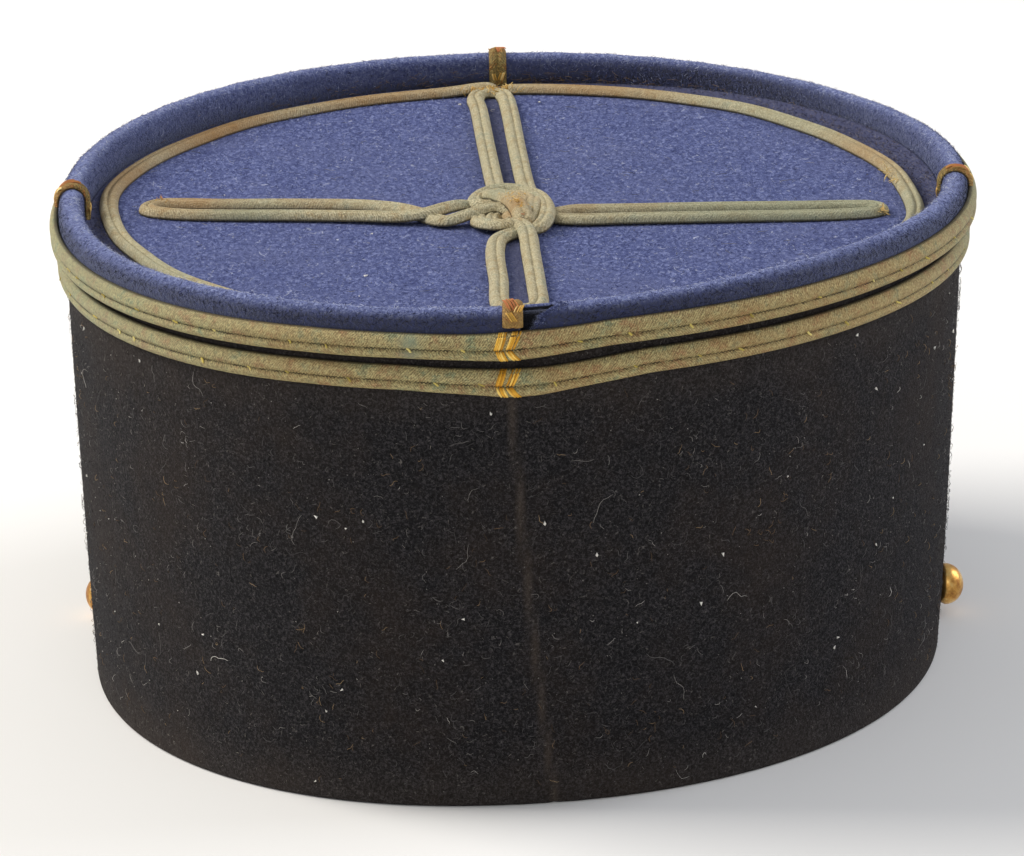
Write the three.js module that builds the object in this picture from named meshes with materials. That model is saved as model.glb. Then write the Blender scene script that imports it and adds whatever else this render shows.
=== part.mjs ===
// An officer's kepi: a stiff black felt band, a blue crown with a rolled rim and a sunk flat top,
// two metal braids round the crown, a braid ring, cross and knot on the top, two domed side
// buttons and a flat leather peak. Millimetres, +Z up, +Y to the front, +X to the wearer's right.
import * as THREE from 'three';
import { ParametricGeometry } from 'three/addons/geometries/ParametricGeometry.js';
import { mergeVertices } from 'three/addons/utils/BufferGeometryUtils.js';

// Driving dimensions of the head oval
const BASE_HALF_WIDTH = 83;
const BASE_HALF_LENGTH = 98;
const OVAL_POWER = 2.1;
const EGG = 0.02;
const OVAL_STEPS = 72;

// Band
const BAND_HEIGHT = 86.2;
const BAND_WALL = 2.4;
const BAND_FLARE_X = 3.4;
const BAND_FLARE_Y = 4.8;

// Crown rim and sunk top
const RIM_HALF_WIDTH = 87.6;
const RIM_HALF_LENGTH = 103.5;
const RIM_ROLL_RADIUS = 2.8;
const RIM_CREST = 95;
const RIM_ARC_STEPS = 8;
const TOP_LEVEL = 88;
const TOP_THICKNESS = 2.4;

// Braids
const GALON_WIDTH = 5;
const GALON_THICKNESS = 1.9;
const UPPER_GALON_FOOT = 87.05;
const LOWER_GALON_FOOT = 80.95;
const CORD_WIDTH = 3.7;
const CORD_THICKNESS = 1.7;
const RING_HALF_WIDTH = 77.4;
const RING_HALF_LENGTH = 89.1;
const RING_SHIFT = { x: 1, y: 4.1 };
const TAB_WIDTH = 3.8;
const TAB_THICKNESS = 1;
const KNOT = { x: 0.2, y: -8, halfWidth: 10.5, halfLength: 12.5, height: 4 };

// Buttons and peak
const BUTTON_RADIUS = 4.1;
const BUTTON_DOME = 3.1;
const BUTTON_EDGE = 0.9;
const BUTTON_BACK_SHARE = 0.9;
const BUTTON_DOME_STEPS = 6;
const BUTTON_SHANK_RADIUS = 1.6;
const BUTTON_SHANK = 1.4;
const PEAK_REACH = 42;
const PEAK_HALF_SPREAD = 58;
const PEAK_CORNER = 3;
const PEAK_FOOT = 1.2;
const PEAK_THICKNESS = 2.2;
const PEAK_STEPS = 28;

// Clearance between neighbouring pieces, and how finely turned and bent shapes are divided
const GAP = 0.3;
const WELD = 1e-4;
const TURNED_STEPS = 24;
const LOOP_STEPS = 10;
const ARCH_STEPS = 8;

const RIM_ROLL_LEVEL = RIM_CREST - RIM_ROLL_RADIUS;
const GALON_REACH = RIM_HALF_LENGTH + GAP + GALON_THICKNESS;
const PEAK_FRONT = BASE_HALF_LENGTH + PEAK_REACH;

// Where each short braid crosses the rim, as a turn in degrees from the wearer's right
const TABS = [
  { name: 'rim_tab_right', turn: -7 },
  { name: 'rim_tab_front', turn: 90 },
  { name: 'rim_tab_left', turn: 182 },
  { name: 'rim_tab_back', turn: 270 },
];

// The four double cords of the cross: root by the knot, looped tip, spacing of the two strands
const ARMS = [
  { name: 'arm_front', root: [1.4, 5], tip: [-1, 90.4], spacing: 6.2 },
  { name: 'arm_back', root: [1.7, -21], tip: [2.4, -82.7], spacing: 6.6 },
  { name: 'arm_left', root: [-10.8, -5], tip: [-71.5, 2.5], spacing: 7.4 },
  { name: 'arm_right', root: [11.2, -9.5], tip: [72.6, -17.2], spacing: 7.4 },
];

// Each side button: its turn from the wearer's right and its height on the band
const BUTTONS = [
  { name: 'button_right', turn: 3, height: 5.9 },
  { name: 'button_left', turn: 169, height: 4.5 },
];

const COLOURS = {
  felt: new THREE.MeshStandardMaterial({ color: 0x292728, roughness: 0.95, metalness: 0 }),
  cloth: new THREE.MeshStandardMaterial({ color: 0x60688e, roughness: 0.9, metalness: 0 }),
  galon: new THREE.MeshStandardMaterial({ color: 0x857a58, roughness: 0.55, metalness: 0.5 }),
  cord: new THREE.MeshStandardMaterial({ color: 0xb0a37f, roughness: 0.6, metalness: 0.3 }),
  gilt: new THREE.MeshStandardMaterial({ color: 0xc4a062, roughness: 0.35, metalness: 1 }),
  leather: new THREE.MeshStandardMaterial({ color: 0x17161a, roughness: 0.4, metalness: 0 }),
};

const kepi = new THREE.Group();

function addMesh(name, geometry, material) {
  const mesh = new THREE.Mesh(geometry, material.clone());
  mesh.name = name;
  kepi.add(mesh);
  return mesh;
}

// A point of the egg-shaped head oval; the signed powers square it slightly
function oval(halfWidth, halfLength, angle) {
  const power = (value) => Math.sign(value) * Math.abs(value) ** (2 / OVAL_POWER);
  const along = power(Math.sin(angle));
  const across = power(Math.cos(angle)) * (1 - EGG * along);
  return new THREE.Vector2(halfWidth * across, halfLength * along);
}

// The level direction that faces straight out of an oval at an angle
function outward(halfWidth, halfLength, angle) {
  const step = 1e-3;
  const before = oval(halfWidth, halfLength, angle - step);
  const along = oval(halfWidth, halfLength, angle + step).sub(before).normalize();
  return new THREE.Vector3(along.y, -along.x, 0);
}

function welded(geometry) {
  geometry.deleteAttribute('normal');
  geometry.deleteAttribute('uv');
  const closed = mergeVertices(geometry, WELD);
  closed.computeVertexNormals();
  return closed;
}

// Carries a closed profile round the head; each corner has its own oval and height
function sweepRound(profile, shift = { x: 0, y: 0 }) {
  const place = (u, v, target) => {
    const corner = profile[Math.round(v * profile.length) % profile.length];
    const point = oval(corner.halfWidth, corner.halfLength, u * 2 * Math.PI);
    target.set(point.x + shift.x, point.y + shift.y, corner.z);
  };
  return welded(new ParametricGeometry(place, OVAL_STEPS, profile.length));
}

// Half sizes of the band's outer face at a height
function bandSize(z) {
  const rise = z / BAND_HEIGHT;
  return {
    halfWidth: BASE_HALF_WIDTH + BAND_FLARE_X * rise,
    halfLength: BASE_HALF_LENGTH + BAND_FLARE_Y * rise,
  };
}

function corner(size, offset, z) {
  return { halfWidth: size.halfWidth + offset, halfLength: size.halfLength + offset, z };
}

// Section of a two-ribbed braid: depth out of its backing, and place across its width
function braidSection(width, thickness) {
  const rows = [
    { depth: 0, across: 0 },
    { depth: 0.6, across: 0 },
    { depth: 1, across: 0.12 },
    { depth: 1, across: 0.4 },
    { depth: 0.7, across: 0.5 },
    { depth: 1, across: 0.6 },
    { depth: 1, across: 0.88 },
    { depth: 0.6, across: 1 },
    { depth: 0, across: 1 },
  ];
  return rows.map((row) => ({ depth: row.depth * thickness, across: row.across * width }));
}

function bandGeometry() {
  const foot = bandSize(0);
  const head = bandSize(BAND_HEIGHT);
  return sweepRound([
    corner(foot, 0, 0),
    corner(head, 0, BAND_HEIGHT),
    corner(head, -BAND_WALL, BAND_HEIGHT),
    corner(foot, -BAND_WALL, 0),
  ]);
}

const rimSize = { halfWidth: RIM_HALF_WIDTH, halfLength: RIM_HALF_LENGTH };

// The rim stands on the band, rolls over at the crest and comes down inside
function rimGeometry() {
  const foot = BAND_HEIGHT + GAP;
  const roll = Array.from({ length: RIM_ARC_STEPS + 1 }, (_, i) => {
    const angle = (Math.PI * i) / RIM_ARC_STEPS;
    const inset = RIM_ROLL_RADIUS * (Math.cos(angle) - 1);
    return corner(rimSize, inset, RIM_ROLL_LEVEL + RIM_ROLL_RADIUS * Math.sin(angle));
  });
  return sweepRound([
    corner(rimSize, 0, foot),
    ...roll,
    corner(rimSize, -2 * RIM_ROLL_RADIUS, foot),
  ]);
}

function topGeometry() {
  const inset = 2 * RIM_ROLL_RADIUS + GAP;
  const outline = Array.from({ length: OVAL_STEPS }, (_, i) =>
    oval(RIM_HALF_WIDTH - inset, RIM_HALF_LENGTH - inset, (2 * Math.PI * i) / OVAL_STEPS));
  const panel = new THREE.ExtrudeGeometry(new THREE.Shape(outline),
    { depth: TOP_THICKNESS, bevelEnabled: false });
  return panel.translate(0, 0, TOP_LEVEL - TOP_THICKNESS);
}

function galonGeometry(size, foot) {
  const section = braidSection(GALON_WIDTH, GALON_THICKNESS);
  return sweepRound(section.map((row) => corner(size, GAP + row.depth, foot + row.across)));
}

// The ring lies flat, so its section's depth is upwards and its width runs inwards
function ringGeometry() {
  const size = { halfWidth: RING_HALF_WIDTH, halfLength: RING_HALF_LENGTH };
  const section = braidSection(CORD_WIDTH, CORD_THICKNESS);
  return sweepRound(section.map((row) =>
    corner(size, CORD_WIDTH / 2 - row.across, TOP_LEVEL + GAP + row.depth)), RING_SHIFT);
}

// An arch over the rolled rim with a leg down its inner face to the top
function tabGeometry() {
  const inner = RIM_ROLL_RADIUS + GAP;
  const outer = inner + TAB_THICKNESS;
  const leg = TOP_LEVEL + GAP - RIM_ROLL_LEVEL;
  const arch = new THREE.Shape();
  arch.moveTo(outer, 0);
  arch.absarc(0, 0, outer, 0, Math.PI, false);
  arch.lineTo(-outer, leg);
  arch.lineTo(-inner, leg);
  arch.lineTo(-inner, 0);
  arch.absarc(0, 0, inner, Math.PI, 0, true);
  const strip = new THREE.ExtrudeGeometry(arch,
    { depth: TAB_WIDTH, bevelEnabled: false, curveSegments: ARCH_STEPS });
  return strip.translate(0, 0, -TAB_WIDTH / 2);
}

// Turns a mesh so that its X faces out of the oval and its Y faces up
function faceOut(mesh, facing) {
  const up = new THREE.Vector3(0, 0, 1);
  const side = new THREE.Vector3().crossVectors(facing, up);
  mesh.quaternion.setFromRotationMatrix(new THREE.Matrix4().makeBasis(facing, up, side));
}

function addTab({ name, turn }) {
  const angle = THREE.MathUtils.degToRad(turn);
  const halfWidth = RIM_HALF_WIDTH - RIM_ROLL_RADIUS;
  const halfLength = RIM_HALF_LENGTH - RIM_ROLL_RADIUS;
  const tab = addMesh(name, tabGeometry(), COLOURS.cord);
  const seat = oval(halfWidth, halfLength, angle);
  tab.position.set(seat.x, seat.y, RIM_ROLL_LEVEL);
  faceOut(tab, outward(halfWidth, halfLength, angle));
}

// Two strands side by side that turn back into each other at the tip
function addArm({ name, root, tip, spacing }) {
  const start = new THREE.Vector2(...root);
  const run = new THREE.Vector2(...tip).sub(start);
  const outer = (spacing + CORD_WIDTH) / 2;
  const inner = (spacing - CORD_WIDTH) / 2;
  const turn = run.length() - outer;
  const loop = new THREE.Shape();
  loop.moveTo(0, -outer);
  loop.absarc(turn, 0, outer, -Math.PI / 2, Math.PI / 2, false);
  loop.lineTo(0, outer);
  loop.lineTo(0, inner);
  loop.absarc(turn, 0, inner, Math.PI / 2, -Math.PI / 2, true);
  loop.lineTo(0, -inner);
  const strands = new THREE.ExtrudeGeometry(loop,
    { depth: CORD_THICKNESS, bevelEnabled: false, curveSegments: LOOP_STEPS });
  const arm = addMesh(name, strands, COLOURS.cord);
  arm.position.set(start.x, start.y, TOP_LEVEL + GAP);
  arm.rotation.z = run.angle();
}

// The knot's outer form: a low cushion, turned and then drawn out to an oval
function knotGeometry() {
  const rows = [
    { radius: 0, height: 0 },
    { radius: 0.92, height: 0 },
    { radius: 1, height: 0.2 },
    { radius: 0.97, height: 0.5 },
    { radius: 0.8, height: 0.85 },
    { radius: 0.5, height: 1 },
    { radius: 0, height: 1 },
  ];
  const profile = rows.map((row) => new THREE.Vector2(row.radius, row.height));
  const cushion = new THREE.LatheGeometry(profile, TURNED_STEPS).rotateX(Math.PI / 2);
  return cushion.scale(KNOT.halfWidth, KNOT.halfLength, KNOT.height);
}

// A shank and a domed cap, turned about the button's own axis
function buttonGeometry() {
  const capBack = GAP + BUTTON_SHANK;
  const profile = [
    new THREE.Vector2(0, GAP),
    new THREE.Vector2(BUTTON_SHANK_RADIUS, GAP),
    new THREE.Vector2(BUTTON_SHANK_RADIUS, capBack),
    new THREE.Vector2(BUTTON_RADIUS * BUTTON_BACK_SHARE, capBack),
  ];
  for (let i = 0; i < BUTTON_DOME_STEPS; i += 1) {
    const angle = (Math.PI / 2) * (i / BUTTON_DOME_STEPS);
    profile.push(new THREE.Vector2(BUTTON_RADIUS * Math.cos(angle),
      capBack + BUTTON_EDGE + BUTTON_DOME * Math.sin(angle)));
  }
  profile.push(new THREE.Vector2(0, capBack + BUTTON_EDGE + BUTTON_DOME));
  return new THREE.LatheGeometry(profile, TURNED_STEPS);
}

function addButton({ name, turn, height }) {
  const angle = THREE.MathUtils.degToRad(turn);
  const { halfWidth, halfLength } = bandSize(height);
  const button = addMesh(name, buttonGeometry(), COLOURS.gilt);
  const seat = oval(halfWidth, halfLength, angle);
  button.position.set(seat.x, seat.y, height);
  const facing = outward(halfWidth, halfLength, angle);
  button.quaternion.setFromUnitVectors(new THREE.Vector3(0, 1, 0), facing);
}

// A crescent plate: its inner edge follows the band and its front is half an ellipse
function peakGeometry() {
  const { halfWidth, halfLength } = bandSize(PEAK_FOOT + PEAK_THICKNESS);
  const spread = THREE.MathUtils.degToRad(PEAK_HALF_SPREAD);
  const end = oval(halfWidth + GAP, halfLength + GAP, Math.PI / 2 - spread);
  const halfSpan = end.x + PEAK_CORNER;
  const outline = [];
  for (let i = 0; i <= PEAK_STEPS; i += 1) {
    const angle = (Math.PI * i) / PEAK_STEPS;
    outline.push(new THREE.Vector2(halfSpan * Math.cos(angle),
      end.y + (PEAK_FRONT - end.y) * Math.sin(angle)));
  }
  for (let i = 0; i <= PEAK_STEPS; i += 1) {
    const angle = Math.PI / 2 + spread - (2 * spread * i) / PEAK_STEPS;
    outline.push(oval(halfWidth + 2 * GAP, halfLength + 2 * GAP, angle));
  }
  const plate = new THREE.ExtrudeGeometry(new THREE.Shape(outline),
    { depth: PEAK_THICKNESS, bevelEnabled: false });
  return plate.translate(0, 0, PEAK_FOOT);
}

addMesh('band', bandGeometry(), COLOURS.felt);
addMesh('crown_rim', rimGeometry(), COLOURS.cloth);
addMesh('top_panel', topGeometry(), COLOURS.cloth);
addMesh('galon_upper', galonGeometry(rimSize, UPPER_GALON_FOOT), COLOURS.galon);
addMesh('galon_lower', galonGeometry(bandSize(LOWER_GALON_FOOT + GALON_WIDTH), LOWER_GALON_FOOT),
  COLOURS.galon);
addMesh('top_ring', ringGeometry(), COLOURS.cord);
TABS.forEach(addTab);
ARMS.forEach(addArm);
addMesh('knot', knotGeometry(), COLOURS.cord).position.set(KNOT.x, KNOT.y, TOP_LEVEL + GAP);
BUTTONS.forEach(addButton);
addMesh('peak', peakGeometry(), COLOURS.leather);

// The origin lies under the middle of the whole hat, peak included
kepi.position.y = -(PEAK_FRONT - GALON_REACH) / 2;
const part = new THREE.Group();
part.add(kepi);

export default part;
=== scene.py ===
# %% [markdown]
# # An old officer's kepi
# The hat stands on its black felt band. A blue cloth crown is rolled over at the rim and sunk in the
# middle, and flat metal-thread braids are sewn round the crown, over the rim and in a cross on the top.
# The fixed frame gives every piece its place, so each surface below is worked out from the frame's boxes
# and a few real sizes in millimetres.

# %% Load the frame
import math

import bpy
import numpy as np
from mathutils import Matrix, Vector


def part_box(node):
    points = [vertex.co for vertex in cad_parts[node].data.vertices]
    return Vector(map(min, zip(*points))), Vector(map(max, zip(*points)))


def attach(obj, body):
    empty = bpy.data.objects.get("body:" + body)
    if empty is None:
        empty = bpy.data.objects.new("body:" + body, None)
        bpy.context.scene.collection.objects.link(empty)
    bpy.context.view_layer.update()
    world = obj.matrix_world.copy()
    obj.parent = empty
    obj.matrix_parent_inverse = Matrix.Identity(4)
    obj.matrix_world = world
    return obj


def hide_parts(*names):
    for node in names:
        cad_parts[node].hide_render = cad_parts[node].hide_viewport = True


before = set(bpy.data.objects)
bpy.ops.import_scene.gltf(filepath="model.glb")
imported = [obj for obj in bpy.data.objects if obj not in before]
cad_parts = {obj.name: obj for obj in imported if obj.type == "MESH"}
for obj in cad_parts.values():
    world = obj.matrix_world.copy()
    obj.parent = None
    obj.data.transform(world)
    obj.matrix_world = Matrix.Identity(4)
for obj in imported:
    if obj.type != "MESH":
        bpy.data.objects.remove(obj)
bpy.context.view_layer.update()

MM = 0.001

# %% [markdown]
# ## The head oval
# A hat is built round an oval that is a little squarer than an ellipse and a little narrower in front.
# Every wall, rim and braid ring here is that same oval at another half width and half length, so one
# function gives them all. The hat's own middle lies behind the frame's origin, because the peak sticks
# out in front, so shapes are worked out round the hat's middle and moved once, in the mesh.

# %% The head oval and the sizes taken from the frame
OVAL_POWER = 2.1
EGG = 0.02
BASE_HALF = np.array([83.0, 98.0])
BACK = 1.5 * np.pi
LEAN = 0.022
SKEW = 0.045
SADDLE = 2.2
UP = np.array([0.0, 0.0, 1.0])
HAT_Y = sum(np.array(corner, float)[1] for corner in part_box("band")) / 2 / MM


def node_box(name):
    """Lowest and highest corner of a frame node in mm, round the hat's own middle."""
    low, high = (np.array(corner, float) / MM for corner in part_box(name))
    shift = np.array([0.0, HAT_Y, 0.0])
    return low - shift, high - shift


def half_size(name):
    """Half the width and half the length of a frame node in mm."""
    low, high = node_box(name)
    return (high - low)[:2] / 2


BAND_HEIGHT = node_box("band")[1][2]
FLARE = half_size("band") - BASE_HALF
RIM_HALF = half_size("crown_rim")
RIM_CREST = node_box("crown_rim")[1][2]
TOP_LEVEL = node_box("top_panel")[1][2]
ROLL_RADIUS = 2.4
ROLL_LEVEL = RIM_CREST - ROLL_RADIUS


def oval(half, angle):
    """Points of the egg oval: signed powers of cosine and sine, the width tapered towards the front."""
    half = np.asarray(half, float)
    along = np.sign(np.sin(angle)) * np.abs(np.sin(angle)) ** (2 / OVAL_POWER)
    across = np.sign(np.cos(angle)) * np.abs(np.cos(angle)) ** (2 / OVAL_POWER)
    return np.stack([half[..., 0] * across * (1 - EGG * along), half[..., 1] * along], -1)


def facing(half, angle):
    """Level unit vectors that point straight out of the oval, from the direction along it."""
    step = 1e-3
    along = oval(half, angle + step) - oval(half, angle - step)
    along /= np.linalg.norm(along, axis=-1, keepdims=True)
    return np.stack([along[..., 1], -along[..., 0]], -1)


def band_half(z):
    """Half sizes of the band's outer face at heights z, growing evenly from foot to top."""
    return BASE_HALF + FLARE * (np.asarray(z, float) / BAND_HEIGHT)[..., None]


def lifted(plan, z):
    """Joins plan points and heights into points in space."""
    return np.concatenate([plan, np.broadcast_to(z, plan.shape[:-1])[..., None]], -1)


def settled(plan, z):
    """The old wall: it leans right as it rises, its foot is skewed and its rim is warped like a saddle."""
    x = plan[..., 0]
    y = plan[..., 1]
    z = np.broadcast_to(z, x.shape)
    warped = z - SADDLE * x * y / (RIM_HALF[0] * RIM_HALF[1]) * z / RIM_CREST
    skew = SKEW * x * (1 - 0.7 * (x / BASE_HALF[0]) ** 2) * (1 - z / BAND_HEIGHT)
    return np.stack([x + LEAN * z, y + skew, warped], -1)


def unit(vectors):
    """The same directions at length one."""
    return vectors / np.linalg.norm(vectors, axis=-1, keepdims=True)


print("band height", round(BAND_HEIGHT, 1), "rim half sizes", RIM_HALF, "roll radius", round(ROLL_RADIUS, 2))

# %% [markdown]
# ## From arrays to meshes
# Each new piece is a grid of points: rows run along the piece and columns run round its section. The grid
# becomes a mesh in one step, with its place in its vertices. A map in millimetres along and across the
# piece goes with it, so a weave can follow a braid round its bends, and named marks carry things such as
# dirt or a tear to the material. The enclosed volume tells which way the faces look.

# %% Mesh helpers


def fill_mesh(name, points, face_groups, corner_map=None, marks=None):
    """Puts points in mm and groups of equal-sided faces into a new mesh object in metres."""
    points = points + np.array([0.0, HAT_Y, 0.0])
    fans = [group[:, [0, i, i + 1]] for group in face_groups for i in range(1, group.shape[1] - 1)]
    triangles = np.concatenate(fans)
    a, b, c = (points[triangles[:, i]] - points.mean(0) for i in range(3))
    if np.einsum("ij,ij->i", a, np.cross(b, c)).sum() < 0:
        face_groups = [group[:, ::-1] for group in face_groups]
        corner_map = None if corner_map is None else corner_map[:, ::-1]
    loops = np.concatenate([group.ravel() for group in face_groups]).astype(np.int32)
    sizes = np.concatenate([np.full(len(group), group.shape[1]) for group in face_groups])
    starts = np.concatenate([[0], np.cumsum(sizes)[:-1]]).astype(np.int32)
    mesh = bpy.data.meshes.new(name)
    mesh.vertices.add(len(points))
    mesh.vertices.foreach_set("co", (points * MM).astype(np.float32).ravel())
    mesh.loops.add(len(loops))
    mesh.loops.foreach_set("vertex_index", loops)
    mesh.polygons.add(len(sizes))
    mesh.polygons.foreach_set("loop_start", starts)
    mesh.polygons.foreach_set("use_smooth", np.ones(len(sizes), bool))
    if corner_map is not None:
        flat = np.zeros((len(loops), 2), np.float32)
        flat[:face_groups[0].size] = corner_map.reshape(-1, 2)
        mesh.uv_layers.new(name="length_and_width").data.foreach_set("uv", flat.ravel())
    for mark, values in (marks or {}).items():
        layer = mesh.attributes.new(mark, "FLOAT", "POINT")
        layer.data.foreach_set("value", values.astype(np.float32).ravel())
    mesh.update(calc_edges=True)
    piece = bpy.data.objects.new(name, mesh)
    bpy.context.scene.collection.objects.link(piece)
    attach(piece, "root")
    print(f"{name}: {len(points)} points, {len(triangles)} triangles")
    return piece


def grid_corners(rows, columns, wrap):
    """Row and column numbers of each quad's corners on a grid that may join up either way."""
    r, c = np.meshgrid(np.arange(rows - (not wrap[0])), np.arange(columns - (not wrap[1])), indexing="ij")
    return (np.stack([r, r + 1, r + 1, r], -1).reshape(-1, 4),
            np.stack([c, c, c + 1, c + 1], -1).reshape(-1, 4))


def grid_piece(name, grid, closed_loop, along=None, across=None, marks=None):
    """One surface from a (rows, columns, 3) array; the ends of an open tube get flat caps."""
    rows, columns = grid.shape[:2]
    row, column = grid_corners(rows, columns, (closed_loop, True))
    groups = [(row % rows) * columns + column % columns]
    corner_map = None if along is None else np.stack([along[row], across[column]], -1)
    if not closed_loop:
        ring = np.arange(columns)
        groups.append(np.stack([ring, (rows - 1) * columns + ring[::-1]]))
    marks = {mark: np.broadcast_to(values, grid.shape[:2]) for mark, values in (marks or {}).items()}
    return fill_mesh(name, grid.reshape(-1, 3), groups, corner_map, marks)


def dress(piece, material, slot, *nodes):
    """Gives a piece its material and hides the frame nodes that it stands for; the slot is not used."""
    piece.data.materials.append(material)
    if nodes:
        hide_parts(*nodes)


def ripple(angle, seed, waves, height):
    """A slow uneven wave round the hat: a few whole-number sines with seeded sizes and phases."""
    rng = np.random.default_rng(seed)
    sizes = rng.normal(0, 1, waves) / np.arange(1, waves + 1)
    phases = rng.uniform(0, 2 * np.pi, waves)
    return height * sum(s * np.sin((k + 2) * angle + p) for k, (s, p) in enumerate(zip(sizes, phases)))


def smooth_step(low, high, value):
    """Eases from 0 at low to 1 at high along a cubic that is level at both ends."""
    t = np.clip((value - low) / (high - low), 0, 1)
    return t * t * (3 - 2 * t)


# %% [markdown]
# ## Camera
# The photograph was taken from behind and a little above, with a long lens, and it leans two degrees. The
# camera stands on the hat's middle line at that height and distance; its lens follows from the pixels that
# one millimetre covers at the hat.

# %% Camera
FRAME_WIDTH = 1024
CAMERA_DISTANCE = 1060.0
CAMERA_RISE = math.radians(16.48)
CAMERA_LEAN = math.radians(-2.0)
FOCAL_PIXELS = 5389.6
AIM_HEIGHT = 45.0
AIM_OFF_CENTRE = (-2.07, 13.04)

back = Vector((0, -math.cos(CAMERA_RISE), math.sin(CAMERA_RISE)))
level = Vector((1, 0, 0))
up = back.cross(level)
right = level * math.cos(CAMERA_LEAN) + up * math.sin(CAMERA_LEAN)
upright = up * math.cos(CAMERA_LEAN) - level * math.sin(CAMERA_LEAN)
place = Vector((0, HAT_Y * MM, AIM_HEIGHT * MM)) + back * CAMERA_DISTANCE * MM
lens = bpy.data.cameras.new("camera")
lens.sensor_width = 36.0
lens.lens = FOCAL_PIXELS / FRAME_WIDTH * lens.sensor_width
lens.shift_x = -AIM_OFF_CENTRE[0] / FRAME_WIDTH
lens.shift_y = -AIM_OFF_CENTRE[1] / FRAME_WIDTH
lens.clip_end = 20
camera = bpy.data.objects.new("camera", lens)
camera.matrix_world = Matrix((
    (right.x, upright.x, back.x, place.x),
    (right.y, upright.y, back.y, place.y),
    (right.z, upright.z, back.z, place.z),
    (0, 0, 0, 1),
))
bpy.context.scene.collection.objects.link(camera)
bpy.context.scene.camera = camera
print("lens mm:", round(lens.lens, 1))

# %% [markdown]
# ## Material helpers
# Colours are written as the hex values seen on a screen and turned to linear light by one function. One
# small function adds a node: it sets the node's own settings, puts constants into its sockets and links
# the outputs of other nodes.

# %% Material helpers


def linear(hex_colour):
    """sRGB hex to linear RGBA by the standard two-part curve."""
    values = [int(hex_colour[i:i + 2], 16) / 255 for i in (1, 3, 5)]
    return tuple(v / 12.92 if v <= 0.04045 else ((v + 0.055) / 1.055) ** 2.4 for v in values) + (1.0,)


def add_node(tree, kind, settings=None, inputs=None, stops=None):
    """Adds one node with its settings, socket values or links, and the stops of a colour ramp."""
    made = tree.nodes.new(kind)
    for key, value in (settings or {}).items():
        setattr(made, key, value)
    for key, value in (inputs or {}).items():
        if isinstance(value, bpy.types.NodeSocket):
            tree.links.new(value, made.inputs[key])
        else:
            made.inputs[key].default_value = linear(value) if isinstance(value, str) else value
    if stops:
        elements = made.color_ramp.elements
        while len(elements) < len(stops):
            elements.new(0.5)
        for element, (position, colour) in zip(elements, stops):
            element.position = position
            element.color = linear(colour)
    return made


def new_material(name, **shader_inputs):
    """A material with one principled shader whose sockets hold the given constants."""
    material = bpy.data.materials.new(name)
    material.use_nodes = True
    shader = material.node_tree.nodes["Principled BSDF"]
    for key, value in shader_inputs.items():
        socket = shader.inputs[key.replace("_", " ")]
        socket.default_value = linear(value) if isinstance(value, str) else value
    return material, material.node_tree, shader


def per_mm(size):
    """Noise scale, in cells per metre, for a pattern whose cells are this many millimetres."""
    return 1 / (size * MM)


# %% [markdown]
# ## Wool cloth and felt
# The crown is a napped wool broadcloth and the band a thick black felt. Both are fibres lying every way,
# so they have no gloss, a pale sheen at grazing angles, a fine uneven grain, slow fading, and lint and dust
# that have settled for a century. One recipe makes both: fibre noise for the grain and bump, slow noise
# for fading, and a layer that thickens where the piece is marked: dust on the band and the top, and on the
# rolled rim a painted shade with some dust. Single wool fibres are about 0.02 mm, too fine to show, so the
# grain is drawn as the tufts that they lie in.

# %% Wool cloth and felt


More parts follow.
